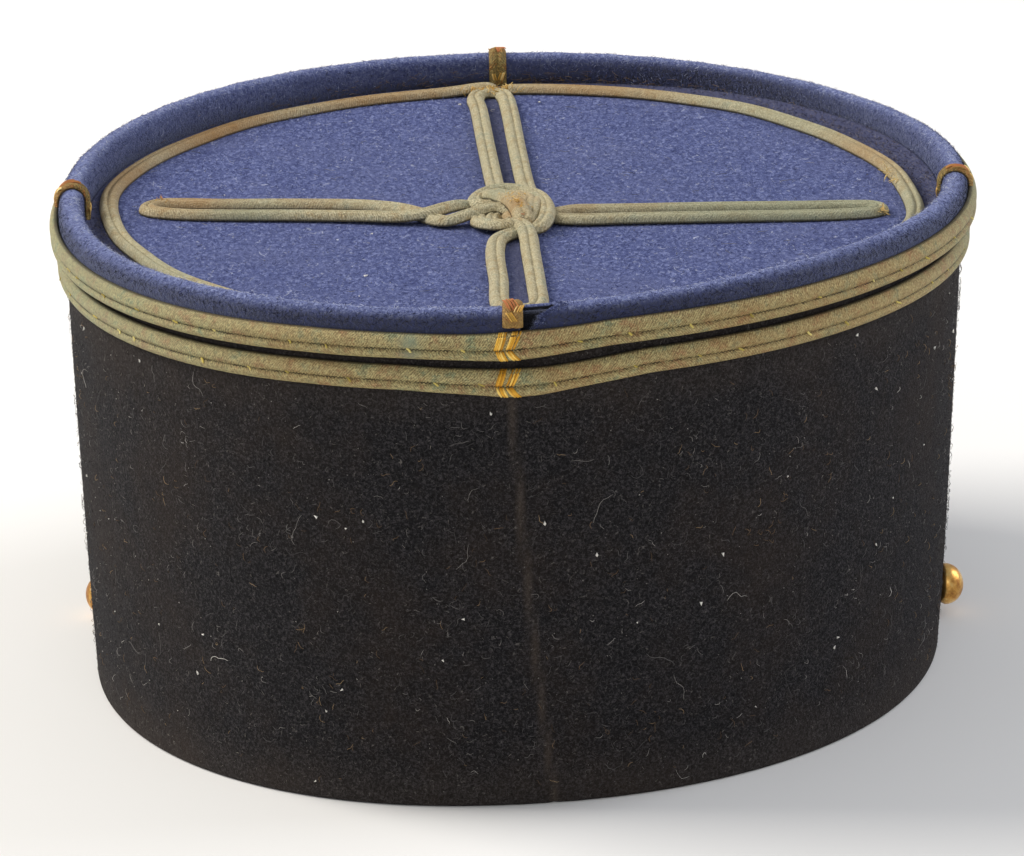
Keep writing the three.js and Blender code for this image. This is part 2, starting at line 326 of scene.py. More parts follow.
def wool(name, shades, faded, dust_and_shade, sheen, tuft=0.6, fleck_amount=0.5, brushed=1.0, relief=0.5):
    """Wool: dark, middle and light tufts, their size in mm, their stretch front to back and their relief."""
    material, tree, shader = new_material(
        name, Roughness=0.95, Sheen_Weight=sheen[0], Sheen_Roughness=0.4, Sheen_Tint=sheen[1],
        Specular_IOR_Level=0.15)
    where = add_node(tree, "ShaderNodeTexCoord").outputs["Object"]
    along_nap = add_node(tree, "ShaderNodeMapping", inputs={
        "Vector": where, "Scale": (1.0, 1 / brushed, 1.0)})
    combed = along_nap.outputs["Vector"]
    tufts = add_node(tree, "ShaderNodeTexNoise", inputs={
        "Vector": combed, "Scale": per_mm(tuft), "Detail": 4.0, "Roughness": 0.72, "Distortion": 0.8})
    grain = add_node(tree, "ShaderNodeValToRGB", inputs={"Fac": tufts.outputs["Fac"]},
                     stops=[(0.34, shades[0]), (0.5, shades[1]), (0.66, shades[2])])
    slow = add_node(tree, "ShaderNodeTexNoise", inputs={
        "Vector": where, "Scale": per_mm(26), "Detail": 6.0, "Roughness": 0.65})
    fade = add_node(tree, "ShaderNodeMapRange", inputs={
        "Value": slow.outputs["Fac"], "From Min": 0.45, "From Max": 0.66, "To Max": 0.4})
    aged = add_node(tree, "ShaderNodeMix", {"data_type": "RGBA"}, {
        0: fade.outputs["Result"], 6: grain.outputs["Color"], 7: faded})
    flecks = add_node(tree, "ShaderNodeTexNoise", inputs={
        "Vector": combed, "Scale": per_mm(tuft * 2), "Detail": 3.0, "Roughness": 0.6, "Distortion": 2.0})
    lint = add_node(tree, "ShaderNodeMapRange", inputs={
        "Value": flecks.outputs["Fac"], "From Min": 0.62, "From Max": 0.74, "To Max": fleck_amount})
    linted = add_node(tree, "ShaderNodeMix", {"data_type": "RGBA"}, {
        0: lint.outputs["Result"], 6: aged.outputs["Result"], 7: dust_and_shade[1]})
    # The marked layer is dust on the band and the top; on the rolled rim its near-black colour is painted
    # shade, with some dust.
    dirt_and_shade_mark = add_node(tree, "ShaderNodeAttribute", {"attribute_name": "dirt_and_shade"}).outputs["Fac"]
    patchy = add_node(tree, "ShaderNodeMapRange", inputs={
        "Value": tufts.outputs["Fac"], "From Min": 0.3, "From Max": 0.58, "To Min": 0.45})
    dust_and_shade_share = add_node(tree, "ShaderNodeMath", {"operation": "MULTIPLY"}, {
        0: dirt_and_shade_mark, 1: patchy.outputs["Result"]})
    dusted_and_shaded = add_node(tree, "ShaderNodeMix", {"data_type": "RGBA"}, {
        0: dust_and_shade_share.outputs["Value"], 6: linted.outputs["Result"], 7: dust_and_shade[0]})
    tree.links.new(dusted_and_shaded.outputs["Result"], shader.inputs["Base Color"])
    raised = add_node(tree, "ShaderNodeBump", inputs={
        "Height": tufts.outputs["Fac"], "Strength": 0.85, "Distance": relief * MM})
    tree.links.new(raised.outputs["Normal"], shader.inputs["Normal"])
    return material


black_felt = wool("black_wool_felt", ("#080808", "#1e1d1f", "#474446"), "#362b23",
                  ("#5c5148", "#8a8580"), (0.06, "#8f8b92"), tuft=0.5, fleck_amount=0.5, relief=0.8)
blue_cloth = wool("blue_wool_broadcloth", ("#2c3461", "#4a5382", "#7b84af"), "#5c6288",
                  ("#4d4d61", "#c0c4d4"), (0.14, "#a9b3dc"), tuft=0.75, fleck_amount=0.7, brushed=2.0)
# Painted light: the rolled edge is the same blue cloth in lighter shades than the top, for the lit roll; its
# near-black first dust colour is painted shade.
rim_cloth = wool("blue_wool_rolled_edge", ("#3f4879", "#626c9e", "#a5afd9"), "#565d88",
                 ("#232229", "#b8bed6"), (0.6, "#b9c2e6"), tuft=0.6, relief=0.6)
print("wool materials:", black_felt.name, blue_cloth.name, rim_cloth.name)

# %% [markdown]
# ## Black felt band
# The band is one stiff felt wall with a butt seam down the back. It could be a cylinder with modifiers, but
# as a grid its foot can be rounded, its face can carry shallow dents, and the seam can be a real groove
# with brown dust in it. The wall is hollow, as thick as the felt, and its top is hidden by the braids.

# %% Black felt band
FELT = 2.4
FOOT_ROUND = 0.8
BAND_TOP = BAND_HEIGHT + 2.0
SEAM_WIDTH = 0.55


def seam_x(z):
    """Sideways place of the back seam at a height: it leans and bows a little."""
    return 5.8 - 0.105 * z + 0.00045 * z * z


def from_seam(x, y, z):
    """Sideways distance from the back seam; the front half of the hat counts as far away."""
    return np.abs(x - seam_x(z)) + 40 * (y > 0)


def dent(angle, z):
    """Shallow dents of the outer face: slow waves round the hat that fade towards the foot."""
    waves = ripple(angle, 3, 7, 0.22) * np.sin(np.pi * z / 95) + ripple(angle, 4, 9, 0.12) * np.cos(z / 17)
    return waves * smooth_step(0.5, 12, z)


def on_band(angle, z):
    """Points and facings on the band's outer face."""
    out = facing(band_half(z), angle)
    plan = oval(band_half(z), angle) + out * dent(angle, z)[..., None]
    return settled(plan, z), lifted(out, 0.0)


def band_profile():
    """Depth into the wall and height, once round the section from the foot up the outer face and back."""
    turn = np.linspace(0, np.pi / 2, 5)
    outer = np.stack([np.zeros(56), np.linspace(FOOT_ROUND, BAND_TOP, 56)], -1)
    inner = np.stack([np.full(12, FELT), np.linspace(BAND_TOP, FOOT_ROUND, 12)], -1)
    heel = np.stack([FELT - FOOT_ROUND * (1 - np.cos(turn)), FOOT_ROUND * (1 - np.sin(turn))], -1)
    toe = np.stack([FOOT_ROUND * (1 - np.sin(turn)), FOOT_ROUND * (1 - np.cos(turn))], -1)
    return np.concatenate([outer, inner, heel[1:], toe[:-1]]).T


angle = np.linspace(0, 2 * np.pi, 540, endpoint=False)[:, None]
depth, height = band_profile()
outside = depth < FELT / 2
half = band_half(height) - depth[:, None]
plan = oval(half, angle)
away = from_seam(plan[..., 0] + LEAN * height, plan[..., 1], height)
groove = -0.4 * np.exp(-(away / SEAM_WIDTH) ** 2)
plan = plan + facing(half, angle) * ((dent(angle, height) + groove) * outside)[..., None]
seam_dirt = 0.55 * np.exp(-(away / SEAM_WIDTH) ** 2) * outside
hem_dirt = 0.2 * (1 - smooth_step(1, 12, height)) + 0.15 * smooth_step(72, 80, height)
band = grid_piece("band_felt", settled(plan, height), True,
                  marks={"dirt_and_shade": np.clip(seam_dirt + hem_dirt, 0, 1)})
dress(band, black_felt, "black_felt", "band")

# %% [markdown]
# ## Rolled blue rim
# The crown cloth is folded over a stiff edge, so the rim is a soft roll with a wall going down inside. One
# grid goes round the hat and over the roll. Behind, beside the braid tab, the cloth has worn through and the
# black board inside shows: there the surface sinks, and a mark tells the material to change. The grid
# is finer there so that the ragged edge has points to follow.

# %% Rolled blue rim
RIM_FOOT = BAND_TOP + 0.1
INNER_FOOT = TOP_LEVEL - 1.5
OVER_START = (RIM_FOOT - ROLL_LEVEL) / ROLL_RADIUS
OVER_END = np.pi + (ROLL_LEVEL - INNER_FOOT) / ROLL_RADIUS
TEAR_LEFT = 2.4
TEAR_RIGHT_AT_CREST = 8.4
TEAR_RIGHT_BELOW = 4.6
BOARD_DEPTH = 1.1
FAR_DROP = 0.6
NEAR_RISE = 0.9


def on_rim(angle, over):
    """Points and facings on the rim. Over is below 0 on the outer wall, 0 to pi on the roll, then inside."""
    bend = np.clip(over, 0, np.pi)
    half = RIM_HALF - (ROLL_RADIUS * (1 - np.cos(bend)))[..., None]
    straight = np.minimum(over, 0) - np.maximum(over - np.pi, 0)
    z = ROLL_LEVEL + ROLL_RADIUS * (np.sin(bend) + straight)
    soft = np.sin(bend)
    z = z + soft * (ripple(angle, 11, 8, 0.2) + 0.05 * np.sin(38 * angle + 3 * np.sin(5 * angle)))
    bulge = soft * (ripple(angle, 12, 9, 0.14) + 0.04 * np.sin(53 * angle + 2 * np.sin(7 * angle)))
    out = facing(half, angle)
    plan = oval(half, angle) + out * bulge[..., None]
    z = z - FAR_DROP * np.clip(np.cos(angle - 0.3), 0, 1) ** 4
    z = z + NEAR_RISE * np.clip(-np.sin(angle), 0, 1) * np.sin(2 * angle) ** 2
    return settled(plan, z), lifted(out * np.cos(bend)[..., None], np.sin(bend))


def tear_edge(over):
    """Sideways place of the tear's ragged right edge: it widens from the galon up to the crest."""
    ragged = 0.30 * np.sin(5.1 * over + 2.0) + 0.18 * np.sin(11.7 * over)
    widening = (TEAR_RIGHT_AT_CREST - TEAR_RIGHT_BELOW) * smooth_step(-0.2, 1.35, over)
    return TEAR_RIGHT_BELOW + widening + ragged


def rim_angles():
    """Even steps round the hat, with a finer stretch at the back where the cloth is torn."""
    fine = np.linspace(BACK - 0.01, BACK + 0.13, 110)
    coarse = np.linspace(0, 2 * np.pi, 480, endpoint=False)
    coarse = coarse[(coarse < fine[0] - 0.005) | (coarse > fine[-1] + 0.005)]
    return np.sort(np.concatenate([coarse, fine]))[:, None]


angle = rim_angles()
over = np.concatenate([np.linspace(OVER_START, 0, 24)[:-1], np.linspace(0, np.pi, 56),
                       np.linspace(np.pi, OVER_END, 14)[1:]])
rim_points, rim_facing = on_rim(angle, over)
sideways = rim_points[..., 0]
behind = rim_points[..., 1] < 0
torn = smooth_step(TEAR_LEFT - 0.25, TEAR_LEFT + 0.1, sideways) * behind
torn = torn * (1 - smooth_step(tear_edge(over) - 0.15, tear_edge(over) + 0.15, sideways))
torn = torn * (1 - smooth_step(1.75, 1.95, over))
lip = np.exp(-((sideways - tear_edge(over)) / 0.45) ** 2) * behind * (over < 1.9)
rim_points = rim_points + rim_facing * (0.25 * lip - BOARD_DEPTH * torn)[..., None]
# Painted shade with some dust: the roll's inner side and the inner wall down to the top, more on the far
# right, and the roll's lower side above the galon are marked to darken towards near black.
inside_shade_and_dust = 0.5 * smooth_step(1.6, 3.0, over) + 0.5 * smooth_step(np.pi, OVER_END - 0.6, over)
inside_shade_and_dust = inside_shade_and_dust + 0.5 * np.exp(-((angle - 1.0) / 0.5) ** 2) * smooth_step(1.9, 2.8, over)
underside_shade_and_dust = 0.9 * (1 - smooth_step(0.2, 1.3, over))
foot = rim_points[:, -1:] + np.linspace(0, 1, 5)[1:-1, None] * (rim_points[:, :1] - rim_points[:, -1:])
rim_marks = {"dirt_and_shade": np.clip(inside_shade_and_dust + underside_shade_and_dust, 0, 1), "torn": torn}
rim_marks = {mark: np.pad(values, ((0, 0), (0, 3))) for mark, values in rim_marks.items()}
rim = grid_piece("rim_cloth", np.concatenate([rim_points, foot], 1), True, marks=rim_marks)
print("torn points:", int((torn > 0.5).sum()))

# %% [markdown]
# The rim uses the rolled blue cloth with one more layer: where it is torn, the stiff board inside is almost
# black.

# %% Rim material


def torn_to_board(cloth):
    """Adds to a cloth the torn mark, where black pasteboard shows."""
    tree = cloth.node_tree
    shader = tree.nodes["Principled BSDF"]
    cloth_colour = shader.inputs["Base Color"].links[0].from_socket
    mark = add_node(tree, "ShaderNodeAttribute", {"attribute_name": "torn"}).outputs["Fac"]
    edge = add_node(tree, "ShaderNodeMapRange", inputs={"Value": mark, "From Min": 0.3, "From Max": 0.55})
    mixed = add_node(tree, "ShaderNodeMix", {"data_type": "RGBA"}, {
        0: edge.outputs["Result"], 6: cloth_colour, 7: "#0c0b0d"})
    tree.links.new(mixed.outputs["Result"], shader.inputs["Base Color"])
    return cloth


dress(rim, torn_to_board(rim_cloth), "blue_cloth", "crown_rim")

# %% [markdown]
# ## Sunk top
# The flat top is the same blue cloth. It sags a little between the seams and turns up where it meets the
# rim, and grey-brown dust has gathered outside the braid ring and between the strands of the cross. The
# disc is a grid of rings; a small ring at the middle is closed with a flat cap.

# %% Sunk top
CORD = (3.7, 1.75)
RING_HALF = half_size("top_ring") - CORD[0] / 2
RING_CENTRE = sum(node_box("top_ring"))[:2] / 2
TOP_HALF = RIM_HALF - 2 * ROLL_RADIUS - 0.05
ON_TOP = TOP_LEVEL + 0.2
STRAY_TURNS = [3, 12, 26, 40, 54, 69, 83, 154, 168, 181, 190, 200,
               210, 220, 230, 240, 264, 300, 320, 332, 339, 347, 357]
STRAY = [-1.2, -2.9, -4.6, -4.3, -3.5, -2, 0, 0.6, 1.4, 0.4, -0.9, -2.2,
         -2.2, -1.2, 0.4, 1.6, 1.6, 0.8, 1.8, 3.2, 3.4, 2.2, 0.2]
TOP_SAG = 0.35
TOP_TURN_UP = 0.9
TOP_THICKNESS = 2.2


def on_top(reach, angle):
    """Points and facings on the top: a share of the way from the middle to the edge, and a turn."""
    sag = -TOP_SAG * (1 - reach ** 2) + ripple(angle, 21, 6, 0.12) * reach
    turned_up = TOP_TURN_UP * smooth_step(0.955, 1.0, reach) ** 2
    plan = reach[..., None] * oval(TOP_HALF, angle) + np.array([LEAN * TOP_LEVEL, 0])
    points = lifted(plan, TOP_LEVEL + 0.15 + sag + turned_up)
    return points, np.broadcast_to(UP, points.shape)


def ring_stray(angle):
    """How far the hand-laid braid ring lies outside its oval, from its strays in mm at some turns, eased."""
    turn = np.degrees(angle) % 360
    eased = [np.interp(turn + shift, STRAY_TURNS, STRAY, period=360) for shift in np.linspace(-7, 7, 9)]
    return np.mean(eased, axis=0)


def outside_ring(x, y):
    """Just above 1 outside the braid ring and below 1 inside it."""
    x = (x - RING_CENTRE[0]) / RING_HALF[0]
    y = (y - RING_CENTRE[1]) / RING_HALF[1]
    return np.hypot(x, y) - ring_stray(np.arctan2(y, x)) / RING_HALF[0]


reach = np.concatenate([np.linspace(0.01, 0.9, 44), np.linspace(0.91, 1.0, 16)])[:, None]
angle = np.linspace(0, 2 * np.pi, 240, endpoint=False)
upper = on_top(reach, angle)[0]
lower = lifted(upper[::-1, :, :2], TOP_LEVEL - TOP_THICKNESS)
rim_dust = 0.8 * smooth_step(0.985, 1.03, outside_ring(upper[..., 0], upper[..., 1]))
strand_dust = 0.7 * np.exp(-((upper[..., 0] - 1.4 + 0.028 * upper[..., 1]) / 2.4) ** 4)
top_dirt = np.clip(rim_dust + strand_dust, 0, 1)
top = grid_piece("top_cloth", np.concatenate([upper, lower]), False,
                 marks={"dirt_and_shade": np.concatenate([top_dirt, 0 * top_dirt])})
dress(top, blue_cloth, "blue_cloth", "top_panel")

# %% [markdown]
# ## Metal-thread braids
# The braids are gilt metal thread woven over two cores, so each has two ribs with a groove between. A
# century of tarnish has made them olive, copper brown and grey green. The twill runs slantwise, so the
# material reads the piece's own map of length and width in mm, and the colour changes from thread to
# thread, with a painted shadow between the threads and a painted glint on their tops. The groove is dark
# and its edge follows the zigzag of the sewing, and both edges of a braid darken to a painted contact
# shade. Real threads are about 0.3 mm apart and are drawn a little coarser so that they show.

# %% Tarnished braid material
THREAD_SPACING = 0.5
THREAD_SLANT = 0.85
STITCH_PITCH = 0.7
RUST_COLOUR = "#a87a42"
VERDIGRIS_COLOUR = "#8d957c"
EDGE_SHADE_COLOUR = "#2e281c"


def braid(name, tones, groove_colour, size, groove_at, contrast=0.75, groove_depth=0.95,
          metal=0.1, patch=4.0, edge=0.44):
    """Braid: tones are shadow, main, light, copper, green and glint; size is width and thickness in mm.

    The groove lies groove_at mm from the middle, a patch of tarnish is patch mm wide, and the painted
    contact shade along both edges starts at the share edge of the width from the middle.
    """
    material, tree, shader = new_material(name, Roughness=0.65, Metallic=metal, Specular_IOR_Level=0.3)
    where = add_node(tree, "ShaderNodeTexCoord")
    mapped = add_node(tree, "ShaderNodeSeparateXYZ", inputs={"Vector": where.outputs["UV"]})
    uneven = add_node(tree, "ShaderNodeTexNoise", inputs={
        "Vector": where.outputs["Object"], "Scale": per_mm(1.4), "Detail": 2.0})
    off_groove = add_node(tree, "ShaderNodeMath", {"operation": "ABSOLUTE"}, {0: mapped.outputs["Y"]})
    slant = add_node(tree, "ShaderNodeMath", {"operation": "MULTIPLY_ADD"}, {
        0: off_groove.outputs["Value"], 1: -THREAD_SLANT, 2: mapped.outputs["X"]})
    bent = add_node(tree, "ShaderNodeMath", {"operation": "ADD"}, {
        0: slant.outputs["Value"], 1: uneven.outputs["Fac"]})
    turns = add_node(tree, "ShaderNodeMath", {"operation": "MULTIPLY"}, {
        0: bent.outputs["Value"], 1: 2 * math.pi / THREAD_SPACING})
    twill = add_node(tree, "ShaderNodeMath", {"operation": "SINE"}, {0: turns.outputs["Value"]})
    tarnish = add_node(tree, "ShaderNodeTexNoise", inputs={
        "Vector": where.outputs["Object"], "Scale": per_mm(patch), "Detail": 7.0, "Roughness": 0.78})
    tint = add_node(tree, "ShaderNodeValToRGB", inputs={"Fac": tarnish.outputs["Fac"]},
                    stops=[(0.38, tones[3]), (0.46, tones[1]), (0.54, tones[2]), (0.62, tones[4])])
    speckle = add_node(tree, "ShaderNodeTexNoise", inputs={
        "Vector": where.outputs["Object"], "Scale": per_mm(0.42), "Detail": 2.0, "Roughness": 0.8})
    mottle = add_node(tree, "ShaderNodeMath", {"operation": "MULTIPLY_ADD"}, {
        0: twill.outputs["Value"], 1: 0.085, 2: speckle.outputs["Fac"]})
    # Painted shadow: the lowest threads of the twill are mixed towards the shadow tone.
    thread_shade = add_node(tree, "ShaderNodeMapRange", inputs={
        "Value": mottle.outputs["Value"], "From Min": 0.32, "From Max": 0.58,
        "To Min": contrast, "To Max": 0.0})
    shaded = add_node(tree, "ShaderNodeMix", {"data_type": "RGBA"}, {
        0: thread_shade.outputs["Result"], 6: tint.outputs["Color"], 7: tones[0]})
    # Painted glint: the highest threads of the twill are mixed towards the glint tone.
    rubbed = add_node(tree, "ShaderNodeMapRange", inputs={
        "Value": mottle.outputs["Value"], "From Min": 0.56, "From Max": 0.74, "To Max": contrast * 0.8})
    glinting = add_node(tree, "ShaderNodeMix", {"data_type": "RGBA"}, {
        0: rubbed.outputs["Result"], 6: shaded.outputs["Result"], 7: tones[5]})
    rust = add_node(tree, "ShaderNodeAttribute", {"attribute_name": "rust"}).outputs["Fac"]
    rusty = add_node(tree, "ShaderNodeMix", {"data_type": "RGBA"}, {
        0: rust, 6: glinting.outputs["Result"], 7: RUST_COLOUR})
    green = add_node(tree, "ShaderNodeAttribute", {"attribute_name": "green"}).outputs["Fac"]
    greened = add_node(tree, "ShaderNodeMix", {"data_type": "RGBA"}, {
        0: green, 6: rusty.outputs["Result"], 7: VERDIGRIS_COLOUR})
    along = add_node(tree, "ShaderNodeMath", {"operation": "MULTIPLY"}, {
        0: mapped.outputs["X"], 1: 2 * math.pi / STITCH_PITCH})
    zigzag = add_node(tree, "ShaderNodeMath", {"operation": "SINE"}, {0: along.outputs["Value"]})
    groove_edge = add_node(tree, "ShaderNodeMath", {"operation": "MULTIPLY_ADD"}, {
        0: zigzag.outputs["Value"], 1: 0.09, 2: mapped.outputs["Y"]})
    from_groove = add_node(tree, "ShaderNodeMath", {"operation": "ABSOLUTE"}, {
        0: groove_edge.outputs["Value"]})
    groove = add_node(tree, "ShaderNodeMapRange", {"interpolation_type": "SMOOTHSTEP"}, {
        "Value": from_groove.outputs["Value"], "From Min": 0.03, "From Max": 0.2,
        "To Min": groove_depth, "To Max": 0.0})
    broken = add_node(tree, "ShaderNodeMapRange", inputs={
        "Value": uneven.outputs["Fac"], "From Min": 0.4, "From Max": 0.62, "To Min": 1.0, "To Max": 0.5})
    dashed = add_node(tree, "ShaderNodeMath", {"operation": "MULTIPLY"}, {
        0: groove.outputs["Result"], 1: broken.outputs["Result"]})
    pressed = add_node(tree, "ShaderNodeAttribute", {"attribute_name": "pressed"}).outputs["Fac"]
    open_groove = add_node(tree, "ShaderNodeMapRange", inputs={
        "Value": pressed, "To Min": 1.0, "To Max": 0.25})
    shown = add_node(tree, "ShaderNodeMath", {"operation": "MULTIPLY"}, {
        0: dashed.outputs["Value"], 1: open_groove.outputs["Result"]})
    finished = add_node(tree, "ShaderNodeMix", {"data_type": "RGBA"}, {
        0: shown.outputs["Value"], 6: greened.outputs["Result"], 7: groove_colour})
    # Painted contact shade: towards both edges of the braid the colour darkens to the edge shade colour.
    sideways = add_node(tree, "ShaderNodeMath", {"operation": "ADD"}, {0: mapped.outputs["Y"], 1: groove_at})
    to_edge = add_node(tree, "ShaderNodeMath", {"operation": "ABSOLUTE"}, {0: sideways.outputs["Value"]})
    edge_shade = add_node(tree, "ShaderNodeMapRange", {"interpolation_type": "SMOOTHSTEP"}, {
        "Value": to_edge.outputs["Value"], "From Min": edge * size[0], "From Max": 0.5 * size[0],
        "To Max": 0.8})
    edge_shaded = add_node(tree, "ShaderNodeMix", {"data_type": "RGBA"}, {
        0: edge_shade.outputs["Result"], 6: finished.outputs["Result"], 7: EDGE_SHADE_COLOUR})
    tree.links.new(edge_shaded.outputs["Result"], shader.inputs["Base Color"])
    raised = add_node(tree, "ShaderNodeBump", inputs={
        "Height": mottle.outputs["Value"], "Strength": 1.0, "Distance": 0.45 * MM})
    tree.links.new(raised.outputs["Normal"], shader.inputs["Normal"])
    return material


GALON = (4.7, 1.5)
GALON_GROOVE = (-0.45, 0.3)
CORD_GROOVE = (-0.15, 0.12)
TAB = (3.7, 1.0)
TAB_GROOVE = (0.0, 0.2)
galon_braid = braid("tarnished_gilt_galon",
                    ("#574c32", "#ab9a6b", "#b8ab79", "#a9835c", "#8a9370", "#dfce94"), "#17130b",
                    GALON, GALON_GROOVE[0])
cord_braid = braid("faded_gilt_soutache",
                   ("#857a5f", "#c3b791", "#d1c6a1", "#bba377", "#b0b094", "#ebe1bd"), "#6b5e40",
                   CORD, CORD_GROOVE[0], contrast=0.8, groove_depth=0.6, metal=0.0, edge=0.486)
tab_braid = braid("worn_gilt_tab",
                  ("#54401f", "#86713f", "#9d8a54", "#a8652f", "#8a7f4e", "#dcae58"), "#5d4a28",
                  TAB, TAB_GROOVE[0], groove_depth=0.0, patch=1.6, edge=0.48)
print("braid materials:", galon_braid.name, cord_braid.name, tab_braid.name)

# %% [markdown]
# ## Braid sections and sweeps
# Every braid is one section carried along a path: two rounded ribs side by side, flat underneath where they
# are sewn down. The path gives the way along and a facing, so the same sweep lays a cord flat on the top,
# stands a galon against the wall and bends a tab over the rim.

# %% Braid sections and sweeps


def rib_height(across, width, thickness, groove_at, groove_size):
    """Height of a braid above its backing: a rounded slab with a soft groove along one line."""
    edge = (1 - np.clip(np.abs(2 * across / width), 0, 1) ** 3) ** (1 / 2.4)
    rib = np.where(across < groove_at, (across - groove_at) / (groove_at + width / 2),
                   (across - groove_at) / (width / 2 - groove_at))
    crown = 1 - 0.16 * (2 * np.abs(rib) - 1) ** 2
    groove = groove_size * np.exp(-((across - groove_at) / (0.08 * width)) ** 2)
    return thickness * edge * crown * (1 - groove)


def braid_section(width, thickness, groove_at, groove_size):
    """Closed section: across from edge to edge over the ribs, then back along the flat underside."""
    across = width / 2 * np.sin(np.linspace(-np.pi / 2, np.pi / 2, 25))
    across = np.sort(np.append(across, groove_at + 0.05 * width * np.array([-1, 1])))
    lift = rib_height(across, width, thickness, groove_at, groove_size)
    below = width / 2 * np.array([0.7, 0, -0.7])
    return np.concatenate([across, below]), np.concatenate([lift, np.full(3, -0.15)])


def sweep(path, normal, section, closed, swell=1.0):
    """Carries a section along a path: across is the facing times the way ahead, out is the facing.

    The section's lift may be one row for the whole path or a row for each point of it.
    """
    ahead = unit(np.roll(path, -1, 0) - np.roll(path, 1, 0) if closed else np.gradient(path, axis=0))
    across = unit(np.cross(normal, ahead))
    raised = np.cross(ahead, across)
    swell = np.broadcast_to(np.asarray(swell, float).reshape(-1, 1, 1), (len(path), 1, 1))
    side, lift = section
    lift = np.broadcast_to(lift, (len(path), len(side)))
    offset = side[None, :, None] * across[:, None] + lift[:, :, None] * raised[:, None]
    return path[:, None] + swell * offset


def run_of(path, closed):
    """Length along a path at each of its points, with the closing length added for a loop."""
    steps = np.linalg.norm(np.diff(path, axis=0), axis=-1)
    last = np.linalg.norm(path[0] - path[-1]) if closed else 0.0
    return np.concatenate([[0], np.cumsum(steps), [steps.sum() + last]])


def smooth_loop(points, spacing):
    """A closed curve through control points: cubic pieces with slopes from the neighbours, evenly spaced."""
    points = np.asarray(points, float)
    count = len(points)
    points = np.concatenate([points[-2:], points, points[:3]])
    knots = np.concatenate([[0], np.cumsum(np.sqrt(np.linalg.norm(np.diff(points, axis=0), axis=-1)))])
    slopes = np.gradient(points, knots, axis=0)
    at = np.linspace(knots[2], knots[2 + count], 6000)
    piece = np.clip(np.searchsorted(knots, at, side="right") - 1, 0, len(points) - 2)
    span = (knots[piece + 1] - knots[piece])[:, None]
    t = (at - knots[piece])[:, None] / span
    curve = ((1 + 2 * t) * (1 - t) ** 2 * points[piece] + t * (1 - t) ** 2 * span * slopes[piece]
             + t * t * (3 - 2 * t) * points[piece + 1] + t * t * (t - 1) * span * slopes[piece + 1])
    run = run_of(curve, False)[:-1]
    even = np.linspace(0, run[-1], int(run[-1] / spacing), endpoint=False)
    return np.stack([np.interp(even, run, curve[:, i]) for i in range(3)], -1)


def stain(points, spots):
    """How strongly each point is stained: the largest of some soft round spots (x, y, radius, amount)."""
    marks = [amount * np.exp(-((points[..., 0] - x) ** 2 + (points[..., 1] - y) ** 2) / radius ** 2)
             for x, y, radius, amount in spots]
    return np.max(marks, axis=0) if marks else np.zeros(points.shape[:-1])


def braid_piece(name, path, normal, size, closed, groove, rust=(), green=(), swell=1.0, pressed=0.0):
    """A braid of the given width and thickness along a path, mapped in mm from its groove.

    Groove is the groove's place and depth, rust and green are stained spots, swell is the scale of the
    section and pressed the share by which the groove is flattened.
    """
    section = braid_section(*size, *groove)
    pressed = np.broadcast_to(np.asarray(pressed, float).reshape(-1, 1), (len(path), len(section[0])))
    plain = braid_section(*size, groove[0], 0.0)
    lift = section[1] + pressed * (plain[1] - section[1])
    grid = sweep(path, normal, (section[0], lift), closed, swell)
    across = np.append(section[0], section[0][0]) - groove[0]
    marks = {"rust": stain(grid, rust), "green": stain(grid, green), "pressed": pressed}
    return grid_piece(name, grid, closed, run_of(path, closed), across, marks)


# %% [markdown]
# ## Galons round the crown
# Two wide braids go right round the wall. Their ends meet at the back seam, where they dip and are bound
# with bright gold thread. Each follows the oval just outside the cloth, and its height strays as hand
# sewing does: low on the left of the back, high on the right.

# %% Galons round the crown
DIP_TURNS = [-180, -24, -12.6, -3.4, -1.3, 0.7, 2.8, 5, 9.5, 14.2, 180]
DIP = {
    "galon_upper": [0, -0.1, -0.5, -1.15, -1.2, -1.05, -0.9, -0.65, -0.1, 0, 0],
    "galon_lower": [0, -0.1, -0.45, -1.6, -1.95, -2.0, -1.85, -1.45, -0.75, -0.1, 0],
}


def dip(node, angle):
    """How far the braid sinks near the join at the back, from its turns there, with the corners eased."""
    turn = np.degrees((angle - BACK + np.pi) % (2 * np.pi) - np.pi)
    eased = [np.interp(turn + shift, DIP_TURNS, DIP[node]) for shift in np.linspace(-1, 1, 7)]
    return np.mean(eased, axis=0)


def join_swell(points):
    """The braid spreads a little where its ends meet."""
    return 1 + 0.13 * np.exp(-((points[..., 0] - 1.5) / 7) ** 2) * (points[..., 1] < 0)


def galon_line(node, angle):
    """The braid's middle line on its backing, and its facing."""
    low, high = node_box(node)
    half = (high - low)[:2] / 2 - 1.9
    z = (low[2] + high[2]) / 2 + ripple(angle, 31, 9, 0.12) + dip(node, angle)
    return settled(oval(half, angle), z), lifted(facing(half, angle), 0.0)


SIDE_RUST = [(60, -75, 40, 0.25), (-35, -92, 12, 0.2), (10, -100, 7, 0.3), (40, -92, 10, 0.3)]
VERDIGRIS = [(-17.5, -104, 1.8, 0.9), (-80, -40, 45, 0.45), (88, -5, 32, 0.5)]
galon_turns = np.linspace(BACK, BACK + 2 * np.pi, 700, endpoint=False)
for node in DIP:
    path, out = galon_line(node, galon_turns)
    galon = braid_piece(node + "_braid", path, out, GALON, True, GALON_GROOVE, SIDE_RUST,
                        VERDIGRIS if node == "galon_upper" else VERDIGRIS[1:], join_swell(path))
    dress(galon, galon_braid, "galon_braid", node)

# %% [markdown]
# ## Cord ring on the top
# A narrower flat cord, a soutache, is sewn in an oval round the sunk top. It starts and ends at the front,
# where one end runs into the cross and the other is cut. It wavers a little, as it was laid by hand.

